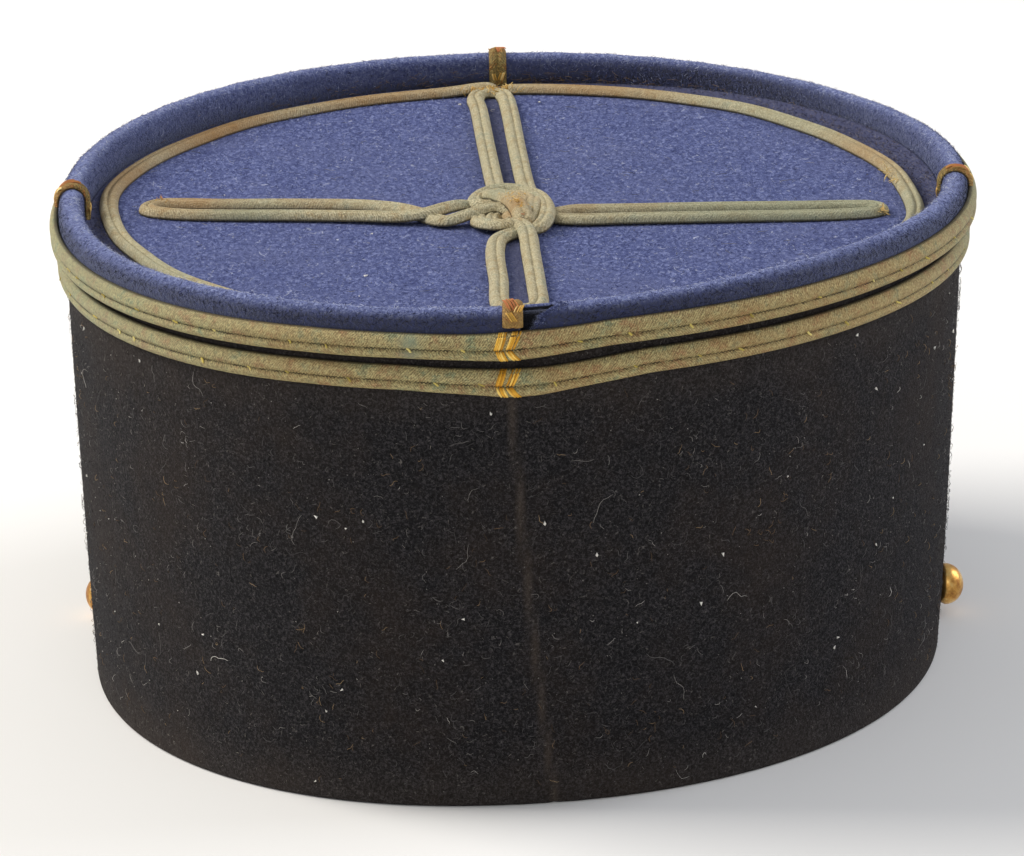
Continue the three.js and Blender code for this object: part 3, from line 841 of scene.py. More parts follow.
# %% Cord ring on the top
RING_START = np.pi / 2 + 0.016
RING_END = np.pi / 2 + 2 * np.pi - 0.012
RING_RUST = [(-58, 62, 24, 0.75), (-74, 25, 20, 0.6), (70, 25, 16, 0.55), (20, 90, 20, 0.6),
             (-25, 85, 20, 0.6)]
RING_GREEN = [(60, 55, 30, 0.35), (78, -20, 18, 0.4), (-66, -45, 16, 0.35)]

angle = np.linspace(RING_START, RING_END, 700)
waver = 0.2 * np.sin(9 * angle) + 0.15 * np.sin(17 * angle)
astray = waver + ring_stray(angle)
ring_plan = oval(RING_HALF, angle) + RING_CENTRE + astray[:, None] * facing(RING_HALF, angle)
over_loop = 0.8 * np.exp(-((angle - RING_START) / 0.09) ** 2)
drawn_in = 1 - 0.45 * np.exp(-(angle - RING_START) / 0.012)
ring = braid_piece("top_ring_cord", lifted(ring_plan, ON_TOP + over_loop), UP, CORD, False, CORD_GROOVE,
                   RING_RUST, RING_GREEN, drawn_in)
dress(ring, cord_braid, "cord_braid", "top_ring")

# %% [markdown]
# ## Cross and knot
# The cross is two closed loops of the same cord: one runs front to back, the other side to side, each lying
# as two strands side by side. In the middle every strand bends through the others, over and under, so that
# the lobes lock in a flat knot. The routes are control points in mm with a lift above the cloth, and a
# smooth curve goes through them.

# %% Cross and knot
LENGTHWAYS = [
    (-4.9, 86.5, 0), (-4.3, 78, 0), (-2.9, 45, 0), (-1.5, 14.7, 0), (-1.1, 8, 0), (-1.2, 2, 0),
    (-2.2, -4, 0.2), (-3.6, -10, 0.2), (-4.5, -14.5, 0.2), (-4.6, -18.6, 0.4), (-3.4, -22.2, 0.8),
    (-1.2, -24.2, 1.0), (0.9, -24.6, 1.2), (2.7, -24.6, 1.4), (4.0, -26.6, 1.1), (4.7, -31, 0.4),
    (4.9, -38, 0), (5.1, -45, 0), (5.7, -65, 0), (5.8, -78, 0), (4.8, -81.4, 0), (2.4, -82.2, 0),
    (0.0, -81.0, 0), (-1.0, -77, 0), (-1.2, -60, 0), (-1.7, -45, 0), (-1.6, -36, 0),
    (-1.1, -31.5, 0), (0.4, -28.6, 0), (2.4, -26.4, 0), (4.2, -23.0, 0.3), (5.2, -18.5, 1.1),
    (5.8, -13.5, 1.7), (6.1, -8.5, 1.5), (5.8, -2, 0.3), (5.1, 6, 0), (4.6, 12.2, 0), (3.4, 40, 0),
    (2.0, 78, 0), (1.4, 86.5, 0), (0.5, 89.9, 0), (-1.8, 90.9, 0), (-4.1, 89.9, 0),
]
SIDEWAYS = [
    (-67.8, -0.8, 0), (-63, -3.5, 0), (-55, -5.4, 0), (-39.1, -7.8, 0), (-27, -10.4, 0.1),
    (-19, -13.0, 0.4), (-14.5, -12.8, 0.9), (-10.8, -9.8, 1.1), (-7.8, -7.3, 0.9),
    (-5.4, -6.4, 0.3), (-2.5, -7.5, 0.1), (0.5, -10.5, 0.1), (4.5, -12.6, 0.0), (9.1, -13.0, 0.1),
    (11.4, -12.6, 0.2), (13.8, -11.3, 0.1), (18.7, -11.4, 0), (26, -12, 0), (41.7, -13, 0),
    (58, -14.6, 0), (66.4, -15.2, 0), (70.6, -16.1, 0), (72.0, -18.5, 0), (70.0, -20.8, 0),
    (64, -21.6, 0), (41.4, -20.1, 0), (24, -18.8, 0), (15.8, -18.5, 0), (12.4, -17.8, 0),
    (9.4, -16.4, 0), (6.5, -16.6, 0), (3.6, -16.4, 0.4), (1.4, -14.8, 1.3), (-1.1, -13.4, 1.8),
    (-4.3, -13.9, 1.4), (-7.5, -15.9, 0.9), (-10.6, -17.0, 0.3), (-13.2, -14.4, 0), (-16, -9.6, 0),
    (-20.5, -4.8, 0), (-27, -1.6, 0), (-39.4, 0.9, 0), (-55, 3.0, 0), (-62.5, 4.6, 0),
    (-66.9, 4.8, 0), (-69.0, 2.2, 0),
]
KNOT_RING = [
    (-5.3, -6.6, 1.2), (-4.8, -3.6, 1.4), (-3.2, -0.8, 1.6), (-0.8, 0.9, 1.8), (2.0, 0.6, 1.8),
    (4.6, -1.3, 1.7), (6.9, -4.4, 1.6), (8.2, -9.8, 1.5), (8.5, -16.4, 1.4), (7.8, -22.4, 1.1),
    (6.2, -26.0, 0.5), (4.4, -25.2, 0.0), (3.0, -20.5, 0.2), (1.5, -14.5, 0.4), (-0.4, -10.4, 1.0),
    (-2.2, -9.4, 1.3), (-4.2, -8.8, 1.3),
]
OVER_STRAND = [
    (-2.6, -3.0, 0.9), (-1.5, -5.6, 2.2), (0.9, -10.8, 2.8), (2.7, -15.6, 2.8), (3.7, -20.6, 2.1),
    (4.2, -23.2, 1.0), (3.2, -21.0, 0.4), (1.4, -14.5, 0.4), (-0.8, -7.0, 0.3), (-2.4, -3.0, 0.3),
]
UNDER_LAYER = [
    (-2.5, -4.5, 1.0), (0.5, -3.2, 1.4), (3.5, -4.2, 1.6), (5.2, -8.0, 1.4), (3.8, -13.0, 0.8),
    (2.4, -18.5, 0.6), (0.6, -21.4, 0.4), (-1.8, -20.2, 0.3), (-1.8, -15.5, 0.3), (0.2, -11.0, 0.6),
    (0.0, -7.6, 1.0), (-1.8, -6.4, 1.0),
]
CORD_STEP = 0.55
KNOT_MIDDLE = (1.5, -12.0)
KNOT_HALF = (11, 15)
KNOT_PRESS = 0.8
CORD_RUST = [(3, -9, 5, 0.3), (14, -12, 6, 0.4), (26, -12, 5, 0.3), (-60, 4, 10, 0.6), (-38, 1, 6, 0.3)]
CROSS_CORDS = [
    ("cross_cord_lengthways", LENGTHWAYS, ("arm_front", "arm_back"), CORD_RUST, [(0, 40, 30, 0.1)], 0.9),
    ("cross_cord_sideways", SIDEWAYS, ("arm_left", "arm_right", "knot"), CORD_RUST,
     [(55, -16, 40, 0.6), (-50, -6.5, 9, 0.5)], 0.88),
    ("knot_ring_cord", KNOT_RING, (), [], [(0, 1, 5, 0.35)], 0.85),
    ("knot_under_layer", UNDER_LAYER, (), [(3, -8, 4, 0.4)], [], 0.9),
    ("knot_over_strand", OVER_STRAND, (), [(2.6, -17.5, 4.5, 0.55)], [(-1, -8, 3, 0.5)], 1.12),
]
for name, route, nodes, rust, green, drawn in CROSS_CORDS:
    path = smooth_loop(route, CORD_STEP) + ON_TOP * UP
    from_knot = np.hypot((path[:, 0] - KNOT_MIDDLE[0]) / KNOT_HALF[0],
                         (path[:, 1] - KNOT_MIDDLE[1]) / KNOT_HALF[1])
    in_knot = np.exp(-from_knot ** 4)
    swell = 1 - (1 - drawn) * in_knot
    cord = braid_piece(name, path, UP, CORD, True, CORD_GROOVE, rust, green, swell, KNOT_PRESS * in_knot)
    dress(cord, cord_braid, "cord_braid", *nodes)

# %% [markdown]
# ## Tabs over the rim
# Four short pieces of braid are drawn over the rim, at the front, back and sides, to hold the roll. They
# are the most worn of all: olive where dirty, orange where the crest has rubbed. Each goes up from the
# galon, over the roll and down the inner face, so its path is the rim's own surface at one turn.

# %% Tabs over the rim
TAB_TURNS = {"rim_tab_right": -7, "rim_tab_front": 91.2, "rim_tab_left": 182, "rim_tab_back": 269.5}
TAB_OVER = np.concatenate([np.linspace(-0.35, np.pi, 60), np.linspace(np.pi, OVER_END - 1.0, 16)[1:]])


def tab_line(turn):
    """The rim's surface at one turn, from above the galon to the top cloth."""
    points, out = on_rim(np.full(len(TAB_OVER), math.radians(turn)), TAB_OVER)
    return points + 0.12 * out, out


for node, turn in TAB_TURNS.items():
    path, out = tab_line(turn)
    middle = path[20]
    rubbed = [(middle[0], middle[1], 2.6, 0.75)]
    tab = braid_piece(node + "_braid", path, out, TAB, False, TAB_GROOVE, rubbed)
    dress(tab, tab_braid, "cord_braid", node)

# %% [markdown]
# ## Gilt buttons
# A small domed gilt button stands low on each side. It is a turned shape, nearly half a ball, worn to brown
# at the back and bright where it has been handled, so the finish is brass with uneven gilding.

# %% Gilt buttons


def gilt(name):
    """Gilt brass: metal whose gold has rubbed and browned in patches, with tiny knocks in the surface."""
    material, tree, shader = new_material(name, Metallic=1.0, Roughness=0.34)
    where = add_node(tree, "ShaderNodeTexCoord").outputs["Object"]
    rubbed = add_node(tree, "ShaderNodeTexNoise", inputs={
        "Vector": where, "Scale": per_mm(2.2), "Detail": 5.0, "Roughness": 0.65})
    tone = add_node(tree, "ShaderNodeValToRGB", inputs={"Fac": rubbed.outputs["Fac"]},
                    stops=[(0.34, "#a8743f"), (0.48, "#d6a055"), (0.66, "#f0cb80")])
    tree.links.new(tone.outputs["Color"], shader.inputs["Base Color"])
    dull = add_node(tree, "ShaderNodeMapRange", inputs={
        "Value": rubbed.outputs["Fac"], "From Min": 0.35, "From Max": 0.65, "To Min": 0.45, "To Max": 0.26})
    tree.links.new(dull.outputs["Result"], shader.inputs["Roughness"])
    knocks = add_node(tree, "ShaderNodeTexNoise", inputs={
        "Vector": where, "Scale": per_mm(0.8), "Detail": 2.0})
    raised = add_node(tree, "ShaderNodeBump", inputs={
        "Height": knocks.outputs["Fac"], "Strength": 0.16, "Distance": 0.2 * MM})
    tree.links.new(raised.outputs["Normal"], shader.inputs["Normal"])
    return material


BUTTON_TURNS = {"button_right": 1, "button_left": 169}
BUTTON_RADIUS = (node_box("button_right")[1] - node_box("button_right")[0])[2] / 2
BUTTON_STAND = 5.7
gilt_brass = gilt("worn_gilt_brass")


def button_grid(turn, z):
    """A turned profile, radius and distance out of the wall, spun round a line straight out of it."""
    bend = np.linspace(-0.62, np.pi / 2 - 0.03, 30)
    widest = 2.1
    radius = np.concatenate([[1.5, 1.5], BUTTON_RADIUS * np.cos(bend)])
    dome = widest + np.where(bend < 0, 2.2, BUTTON_STAND - widest) * np.sin(bend)
    stand = np.concatenate([[-0.3, 0.7], dome])
    spin = np.linspace(0, 2 * np.pi, 56, endpoint=False)
    seat, out = on_band(np.array([math.radians(turn)]), np.array([z]))
    side = np.cross(UP, out[0])
    ring = np.cos(spin)[None, :, None] * side + np.sin(spin)[None, :, None] * UP
    return seat[0] + stand[:, None, None] * out[0] + radius[:, None, None] * ring


for node, turn in BUTTON_TURNS.items():
    button = grid_piece(node + "_gilt", button_grid(turn, sum(node_box(node))[2] / 2), False)
    dress(button, gilt_brass, "gilt_brass", node)

# %% [markdown]
# ## Leather peak
# The peak is a flat crescent of thick black leather, sewn to the foot of the band in front. Its grid runs
# from the inner edge, which follows the band, to the half-ellipse of its front, with a rounded edge and a
# slight rise in the middle.

# %% Leather peak


def leather(name):
    """Polished black leather: fine grain bump, rubbed brown-grey in places, a soft gloss."""
    material, tree, shader = new_material(name, Roughness=0.42, Specular_IOR_Level=0.5)
    where = add_node(tree, "ShaderNodeTexCoord").outputs["Object"]
    grain = add_node(tree, "ShaderNodeTexVoronoi", inputs={"Vector": where, "Scale": per_mm(1.1)})
    slow = add_node(tree, "ShaderNodeTexNoise", inputs={
        "Vector": where, "Scale": per_mm(14), "Detail": 6.0, "Roughness": 0.6})
    tone = add_node(tree, "ShaderNodeValToRGB", inputs={"Fac": slow.outputs["Fac"]},
                    stops=[(0.4, "#121114"), (0.6, "#1d1b1d"), (0.75, "#3a322c")])
    tree.links.new(tone.outputs["Color"], shader.inputs["Base Color"])
    dull = add_node(tree, "ShaderNodeMapRange", inputs={
        "Value": slow.outputs["Fac"], "From Min": 0.35, "From Max": 0.7, "To Min": 0.3, "To Max": 0.6})
    tree.links.new(dull.outputs["Result"], shader.inputs["Roughness"])
    raised = add_node(tree, "ShaderNodeBump", inputs={
        "Height": grain.outputs["Distance"], "Strength": 0.18, "Distance": 0.15 * MM})
    tree.links.new(raised.outputs["Normal"], shader.inputs["Normal"])
    return material


peak_low, peak_high = node_box("peak")
PEAK_SPREAD = math.radians(58)
PEAK_CORNER = 3.0
PEAK_RISE = 1.6


def peak_edges(share):
    """The band's edge and the front edge, for shares from -1 at one corner to 1 at the other."""
    half = band_half(peak_high[2]) + 0.3
    inner = oval(half, np.pi / 2 - PEAK_SPREAD * share)
    corner = oval(half, np.array(np.pi / 2 - PEAK_SPREAD))
    turn = np.pi / 2 - np.pi / 2 * share * 0.985
    front = np.stack([(corner[0] + PEAK_CORNER) * np.cos(turn),
                      corner[1] + (peak_high[1] - corner[1]) * np.sin(turn)], -1)
    return inner, front


def peak_grid(rows=110, columns=40):
    """Across: from the band to the front edge and back underneath; along: from one corner to the other."""
    share = np.linspace(-1, 1, rows)
    inner, front = peak_edges(share)
    bend = np.linspace(0.3, np.pi - 0.3, 9)
    reach = np.concatenate([np.linspace(0, 0.975, columns), 1 - 0.025 * (1 - np.sin(bend)),
                            np.linspace(0.975, 0, columns)])
    face = np.concatenate([np.full(columns, 0.5), 0.5 * np.cos(bend), np.full(columns, -0.5)])
    plan = inner[:, None] + reach[None, :, None] * (front - inner)[:, None]
    rise = PEAK_RISE * (1 - share ** 2)[:, None] * reach[None] ** 0.8
    z = (peak_high[2] + peak_low[2]) / 2 + (peak_high[2] - peak_low[2]) * face[None] + rise
    return settled(plan, z)


peak = grid_piece("peak_leather", peak_grid(), False)
dress(peak, leather("black_peak_leather"), "peak_leather", "peak")

# %% [markdown]
# ## Threads and fibres
# Sewing thread, frayed ends, lint and the nap of the wool are all many small copies of two shapes: a short
# round thread along a path, and a thin closed spike. Each kind is made for all its copies at once and joined
# in one mesh. A tone mark, drawn at random for each copy, gives each its own colour.

# %% Thread and spike meshes


def threads(name, paths, radius, tone, sides=5):
    """Round threads along (count, steps, 3) paths, drawn in at both ends and capped."""
    count, steps = paths.shape[:2]
    ahead = unit(np.gradient(paths, axis=1))
    side = unit(np.cross(ahead, np.array([0.31, 0.53, 0.79])))
    other = np.cross(ahead, side)
    turn = np.arange(sides) * 2 * np.pi / sides
    taper = np.sin(np.linspace(0.3, np.pi - 0.3, steps)) ** 0.3
    ring = np.cos(turn)[:, None] * side[:, :, None] + np.sin(turn)[:, None] * other[:, :, None]
    radius = np.broadcast_to(radius, count)[:, None, None, None]
    points = paths[:, :, None] + radius * taper[:, None, None] * ring
    row, column = grid_corners(steps, sides, (False, True))
    first = (np.arange(count) * steps * sides)[:, None, None]
    walls = (row * sides + column % sides + first).reshape(-1, 4)
    lid = np.arange(sides)
    lids = (np.stack([lid, (steps - 1) * sides + lid[::-1]]) + first).reshape(-1, sides)
    marks = {"tone": np.repeat(tone, steps * sides)}
    return fill_mesh(name, points.reshape(-1, 3), [walls, lids], marks=marks)


def spikes(name, roots, ahead, length, width, tone):
    """Thin closed spikes: three corners round each root and one tip, four triangles each."""
    side = unit(np.cross(ahead, np.array([0.31, 0.53, 0.79])))
    other = np.cross(ahead, side)
    turn = np.arange(3)[:, None] * 2 * np.pi / 3
    width = np.broadcast_to(width, len(roots))[:, None, None]
    corners = roots[:, None] + width * (np.cos(turn) * side[:, None] + np.sin(turn) * other[:, None])
    tips = roots + ahead * np.broadcast_to(length, len(roots))[:, None]
    points = np.concatenate([corners, tips[:, None]], 1)
    one = np.array([[0, 1, 3], [1, 2, 3], [2, 0, 3], [0, 2, 1]])
    faces = (one + (np.arange(len(roots)) * 4)[:, None, None]).reshape(-1, 3)
    return fill_mesh(name, points.reshape(-1, 3), [faces], marks={"tone": np.repeat(tone, 4)})


def toned(name, stops, roughness=0.9, metal=0.0):
    """Thread or fibre whose tone mark picks its colour from a ramp."""
    material, tree, shader = new_material(name, Roughness=roughness, Metallic=metal, Specular_IOR_Level=0.2)
    tone = add_node(tree, "ShaderNodeAttribute", {"attribute_name": "tone"}).outputs["Fac"]
    ramp = add_node(tree, "ShaderNodeValToRGB", inputs={"Fac": tone}, stops=stops)
    tree.links.new(ramp.outputs["Color"], shader.inputs["Base Color"])
    return material


def lie(rng, normal, rise):
    """Random directions along a surface that rise from it by the given share."""
    spin = rng.normal(0, 1, normal.shape)
    flat = unit(spin - (spin * normal).sum(-1, keepdims=True) * normal)
    return unit(flat + rise[:, None] * normal)


# %% [markdown]
# ## Gold binding and sewing stitches
# Where the ends of the galons meet, two small bundles of bright gold thread bind each rib, leaning one way
# on the upper rib and the other way on the lower. Round the rest of the hat a yellow stitch shows in the
# groove every centimetre or so. All of them lie on the braid's own section. One line of the binding table
# gives a bundle's upper and lower end across the braid and the places sideways of both, in mm.

# %% Gold binding and sewing stitches
gold_thread = toned("bright_gold_thread", [(0.0, "#b98428"), (0.5, "#e2ab3c"), (1.0, "#f8d676")], 0.5, 0.15)
pale_thread = toned("yellow_sewing_thread", [(0.0, "#a3914c"), (0.6, "#cdb962"), (1.0, "#eadb92")])
BINDING = [(2.3, -0.4, -0.3, -1.2), (2.3, -0.3, 1.7, 0.6), (-0.6, -2.2, -0.9, -0.2), (-0.6, -2.2, 0.5, 1.7)]
BUNDLE = 4


def on_galon(node, sideways, across):
    """Points on a galon's face behind the hat, for places sideways and across the braid in mm."""
    angle = BACK + np.arcsin((sideways - LEAN * BAND_HEIGHT) / RIM_HALF[0])
    line, out = galon_line(node, angle)
    lift = rib_height(across, *GALON, *GALON_GROOVE)
    return line + join_swell(line)[..., None] * (out * lift[..., None] + UP * across[..., None])


rng = np.random.default_rng(51)
share = np.linspace(0, 1, 9)
bundles = []
for node in DIP:
    for high, low, x_high, x_low in BINDING:
        spread = 0.3 * (np.arange(BUNDLE)[:, None] - (BUNDLE - 1) / 2) + rng.normal(0, 0.06, (BUNDLE, 1))
        x = x_high + (x_low - x_high) * share + spread
        bundles.append(on_galon(node, x, np.broadcast_to(high + (low - high) * share, x.shape)))
bundles = np.concatenate(bundles)
binding = threads("galon_binding_threads", bundles, 0.24, rng.uniform(0, 1, len(bundles)))
dress(binding, gold_thread, "galon_braid")

STITCHES = 48
stitch_paths = []
for node in DIP:
    even = np.linspace(0, 2 * np.pi, STITCHES, endpoint=False)
    start = even + rng.uniform(-0.055, 0.055, STITCHES) + BACK + 0.07
    angle = start[:, None] + rng.uniform(0.004, 0.012, (STITCHES, 1)) * share
    line, out = galon_line(node, angle)
    upper_end = GALON_GROOVE[0] + rng.uniform(0.1, 0.45, (STITCHES, 1))
    across = upper_end - rng.uniform(0.3, 0.8, (STITCHES, 1)) * share
    lift = rib_height(across, *GALON, *GALON_GROOVE) + 0.1
    stitch_paths.append(line + out * lift[..., None] + UP * across[..., None])
stitch_paths = np.concatenate(stitch_paths)
stitches = threads("galon_stitches", stitch_paths, rng.uniform(0.13, 0.24, len(stitch_paths)),
                   rng.uniform(0, 1, len(stitch_paths)))
dress(stitches, pale_thread, "galon_braid")

# %% [markdown]
# ## Frayed braid ends
# At the front the cord's ends are cut and fuzzy with gold wire, the tabs have broken threads at the crest
# and at their feet, and the tips of the arms have a few loose ends. Each frayed spot is a small cloud of
# short curved threads round a point, leaning a chosen way. On a tab, strands lie over its face between two
# places, each a turn over the roll and a distance sideways.

# %% Frayed braid ends
frayed_thread = toned("frayed_gilt_thread", [(0.0, "#8f5832"), (0.25, "#bd7548"), (0.5, "#a88a45"),
                                             (0.75, "#d3a24a"), (1.0, "#f4de9e")], 0.6, 0.1)


def frays(rng, middle, spread, lean, count, length):
    """Short bent threads: a start near a point, a way that leans one way, and a sideways bow."""
    start = np.array(middle) + rng.normal(0, 1, (count, 3)) * np.array(spread)
    way = unit(np.array(lean, float) + rng.normal(0, 0.45, (count, 3)))
    bow = rng.normal(0, 0.35, (count, 3))
    share = np.linspace(0, 1, 7)[:, None]
    reach = (length * rng.uniform(0.5, 1.2, count))[:, None, None]
    return start[:, None] + reach * (share * way[:, None] + share ** 2 * bow[:, None])


TAB_RADIUS = 92
TAB_STRANDS = [
    (1.7, -0.9, 0.7, 0.2, 0.22, 8), (1.0, 1.3, 0.6, 0.7, 0.85, 5), (0.6, -0.7, 0.1, 0.2, 0.8, 5),
    (np.pi + 0.4, -1.0, np.pi + 1.1, -0.4, 0.8, 5), (np.pi + 0.5, 1.1, np.pi + 1.1, 0.7, 0.75, 4),
    (2.1, -0.6, 1.5, -0.2, 0.3, 5),
]


def tab_strands(rng, turn, over_start, side_start, over_end, side_end, count):
    """Loose strands on a tab's face, from one place on it to another, side by side."""
    share = np.linspace(0, 1, 9)
    apart = 0.22 * (np.arange(count)[:, None] - (count - 1) / 2) + rng.normal(0, 0.08, (count, 1))
    side = side_start + (side_end - side_start) * share + apart
    over = np.broadcast_to(over_start + (over_end - over_start) * share, side.shape)
    points, out = on_rim(math.radians(turn) + side / TAB_RADIUS, over)
    return points + out * (TAB[1] + 0.02 + 0.1 * np.sin(np.pi * share)[:, None])


rng = np.random.default_rng(61)
FRONT_JOIN = (-1.8, 90.5, ON_TOP + 1.3)
RING_CUT = (2.2, 93.4, ON_TOP + 1.0)
FRAYED = [
    (FRONT_JOIN, (2.2, 0.9, 0.2), (0.2, 0.3, 0.05), 110, 1.2, (0.45, 1.0)),
    (RING_CUT, (0.5, 0.5, 0.25), (-1.0, 0.1, 0.1), 90, 1.0, (0.75, 1.0)),
    ((72.3, -20.6, ON_TOP + 0.9), (0.35, 0.7, 0.4), (0.5, -0.5, 0.2), 60, 0.8, (0.8, 1.0)),
    ((-67.0, 5.0, ON_TOP + 1.3), (0.7, 0.7, 0.15), (-0.6, 0.3, 0.2), 14, 0.9, (0.3, 0.7)),
    ((75.4, 6.4, ON_TOP + 1.6), (0.5, 0.3, 0.08), (-0.9, -0.2, 0.1), 9, 1.5, (0.85, 1.0)),
    ((76.8, 0.6, ON_TOP + 1.6), (0.5, 0.3, 0.08), (-0.9, -0.3, 0.1), 9, 1.5, (0.85, 1.0)),
    ((0.9, -10.8, ON_TOP + 4.5), (0.5, 0.9, 0.08), (0.3, -0.9, 0.0), 26, 0.5, (0.55, 0.95)),
    ((1.9, -13.4, ON_TOP + 4.55), (0.7, 0.9, 0.08), (0.3, -0.9, 0.0), 40, 0.5, (0.6, 1.0)),
    ((2.8, -16.4, ON_TOP + 4.5), (0.7, 0.9, 0.08), (0.2, -0.9, 0.0), 40, 0.5, (0.6, 1.0)),
    ((3.4, -19.2, ON_TOP + 4.1), (0.6, 0.7, 0.1), (0.2, -0.9, -0.2), 30, 0.5, (0.55, 0.95)),
    ((4.0, -22.2, ON_TOP + 3.1), (0.25, 0.4, 0.2), (0.3, -0.8, -0.3), 14, 0.7, (0.2, 0.5)),
]
clouds = []
tones = []
for middle, spread, lean, count, length, tone_range in FRAYED:
    clouds.append(frays(rng, middle, spread, lean, count, length))
    tones.append(rng.uniform(*tone_range, count))
clouds = np.concatenate(clouds)
frayed = threads("frayed_braid_ends", clouds, 0.075, np.concatenate(tones), sides=4)
dress(frayed, frayed_thread, "cord_braid")

strands = []
strand_tones = []
for turn in TAB_TURNS.values():
    for over_start, side_start, over_end, side_end, tone, count in TAB_STRANDS:
        strands.append(tab_strands(rng, turn, over_start, side_start, over_end, side_end, count))
        strand_tones.append(np.clip(tone + rng.normal(0, 0.1, count), 0, 1))
loose = threads("loose_tab_strands", np.concatenate(strands), 0.12, np.concatenate(strand_tones))
dress(loose, frayed_thread, "cord_braid")

# %% [markdown]
# ## Nap of the wool
# Wool cloth has a nap of short fibres that lie over the surface and stand off it at the edges, where they
# catch the light. Twenty to thirty thousand spikes for each cloth give that: most lie nearly flat, some
# rise, and their tones run from the dye's dark blue or black to white lint. Outside the braid ring they are
# grey with dust, and none grow where the cloth is torn.

# %% Nap of the wool
blue_nap = toned("blue_wool_nap", [(0.0, "#2c3460"), (0.5, "#58618f"), (0.85, "#8d95ba"), (1.0, "#c9cddd")])
dust_nap = toned("dusty_wool_nap", [(0.0, "#2d2f45"), (0.45, "#50506a"), (0.75, "#7a6f6a"),
                                    (1.0, "#b5b0ae")])
black_nap = toned("black_felt_nap", [(0.0, "#0b0a0a"), (0.55, "#262424"), (0.88, "#5d5853"),
                                     (1.0, "#b3aca2")])
rim_nap = toned("rolled_edge_nap", [(0.0, "#19181c"), (0.2, "#282d50"), (0.55, "#58618f"), (0.85, "#939bc0"),
                                    (1.0, "#cfd4e4")])
NAP_WIDTH = 0.05
ROOT_DEPTH = 0.03


def nap(name, rng, points, normal, length, steep, material, slot, painted_tone_shift=0.0):
    """Spikes rooted just under a surface, lying over it, with a random length, rise and tone; the tone can
    be shifted to paint light or shade.
    """
    count = len(points)
    rise = np.abs(rng.normal(0, steep, count))
    ahead = lie(rng, normal, rise)
    tone = np.clip(rng.beta(1.6, 1.9, count) + painted_tone_shift, 0, 1)
    length = rng.uniform(0.4, 1.0, count) * length
    hairs = spikes(name, points - ROOT_DEPTH * normal, ahead, length, NAP_WIDTH, tone)
    dress(hairs, material, slot)


rng = np.random.default_rng(71)
COUNT_TOP = 24000
COUNT_RIM = 22000
COUNT_BAND = 34000
COUNT_DUST = 18000
TEAR_MIDDLE = 5
TEAR_HALF = 4
reach = np.sqrt(rng.uniform(0, 1, COUNT_TOP))
points, normal = on_top(reach, rng.uniform(0, 2 * np.pi, COUNT_TOP))
clean = outside_ring(points[:, 0], points[:, 1]) < 1.0
nap("top_nap", rng, points[clean], normal[clean], 1.4, 0.5, blue_nap, "blue_cloth")
points, normal = on_top(rng.uniform(0.9, 0.995, COUNT_DUST), rng.uniform(0, 2 * np.pi, COUNT_DUST))
dusty = outside_ring(points[:, 0], points[:, 1]) > 1.02
nap("dusty_nap", rng, points[dusty], normal[dusty], 1.5, 0.5, dust_nap, "blue_cloth")
over = rng.uniform(-0.2, np.pi + 1.2, COUNT_RIM)
points, normal = on_rim(rng.uniform(0, 2 * np.pi, COUNT_RIM), over)
# Painted light on the rim's nap: round the crest the tones are paler, a painted highlight, and on the lower
# side they are darker, a painted shade that reaches the ramp's darkest stop.
painted_crest_highlight = 0.4 * smooth_step(1.15, 1.65, over) * (1 - smooth_step(2.0, 2.6, over))
painted_tone_shift = painted_crest_highlight - 0.6 * (1 - smooth_step(0.2, 1.2, over))
in_tear = (np.abs(points[:, 0] - TEAR_MIDDLE) < TEAR_HALF) & (points[:, 1] < 0)
nap("rim_nap", rng, points[~in_tear], normal[~in_tear], 1.3, 0.3, rim_nap, "blue_cloth", painted_tone_shift[~in_tear])
points, normal = on_band(rng.uniform(0, 2 * np.pi, COUNT_BAND), rng.uniform(1.5, 81, COUNT_BAND))
nap("band_nap", rng, points, normal, 1.0, 0.25, black_nap, "black_felt")

# %% [markdown]
# The tear's right edge is fringed: pale blue fibres stick out over the black board.

# %% Fringe of the tear
FRINGE = 420
rng = np.random.default_rng(72)
over = rng.uniform(-0.35, 1.8, FRINGE)
place = tear_edge(over) + np.abs(rng.normal(0, 0.7, FRINGE))
points, normal = on_rim(BACK + np.arcsin((place - LEAN * RIM_CREST) / RIM_HALF[0]), over)
ahead = unit(np.array([-0.8, -0.2, 0.2]) + 0.55 * rng.normal(0, 1, (FRINGE, 3)) + 0.5 * normal)
fringe = spikes("tear_fringe", points, ahead, rng.uniform(0.3, 1.0, FRINGE), 0.06, rng.beta(1.5, 2, FRINGE))
dress(fringe, blue_nap, "blue_cloth")

# %% [markdown]
# ## Lint and dust
# Pale curled fibres and specks have caught on the felt and the cloth. A curl is a thread whose heading
# wanders as it goes; it is laid out flat and then wrapped on the surface, where a length in mm becomes a
# turn by dividing by the hat's radius there. Specks are small closed flakes.

# %% Lint and dust
lint = toned("pale_lint", [(0.0, "#454344"), (0.6, "#6f6c6b"), (0.88, "#a19d98"), (1.0, "#f2eee6")])
brown_lint = toned("brown_lint", [(0.0, "#4a3a2a"), (0.6, "#7a6248"), (1.0, "#a58d6c")])
CURL_STEPS = 8
CLUMPS = 70
BAND_RADIUS = 90
FRONT_RADIUS = 95


def curls(rng, count, shortest, longest):
    """Flat wandering lines: the heading is a running sum of random bends, the place a sum of steps."""
    length = rng.uniform(shortest, longest, count)[:, None]
    bend = rng.normal(0, 0.4, (count, CURL_STEPS)) + rng.normal(0, 0.12, (count, 1))
    heading = rng.uniform(0, 2 * np.pi, (count, 1)) + np.cumsum(bend, 1)
    step = length / CURL_STEPS
    return np.stack([np.cumsum(step * np.cos(heading), 1), np.cumsum(step * np.sin(heading), 1)], -1)


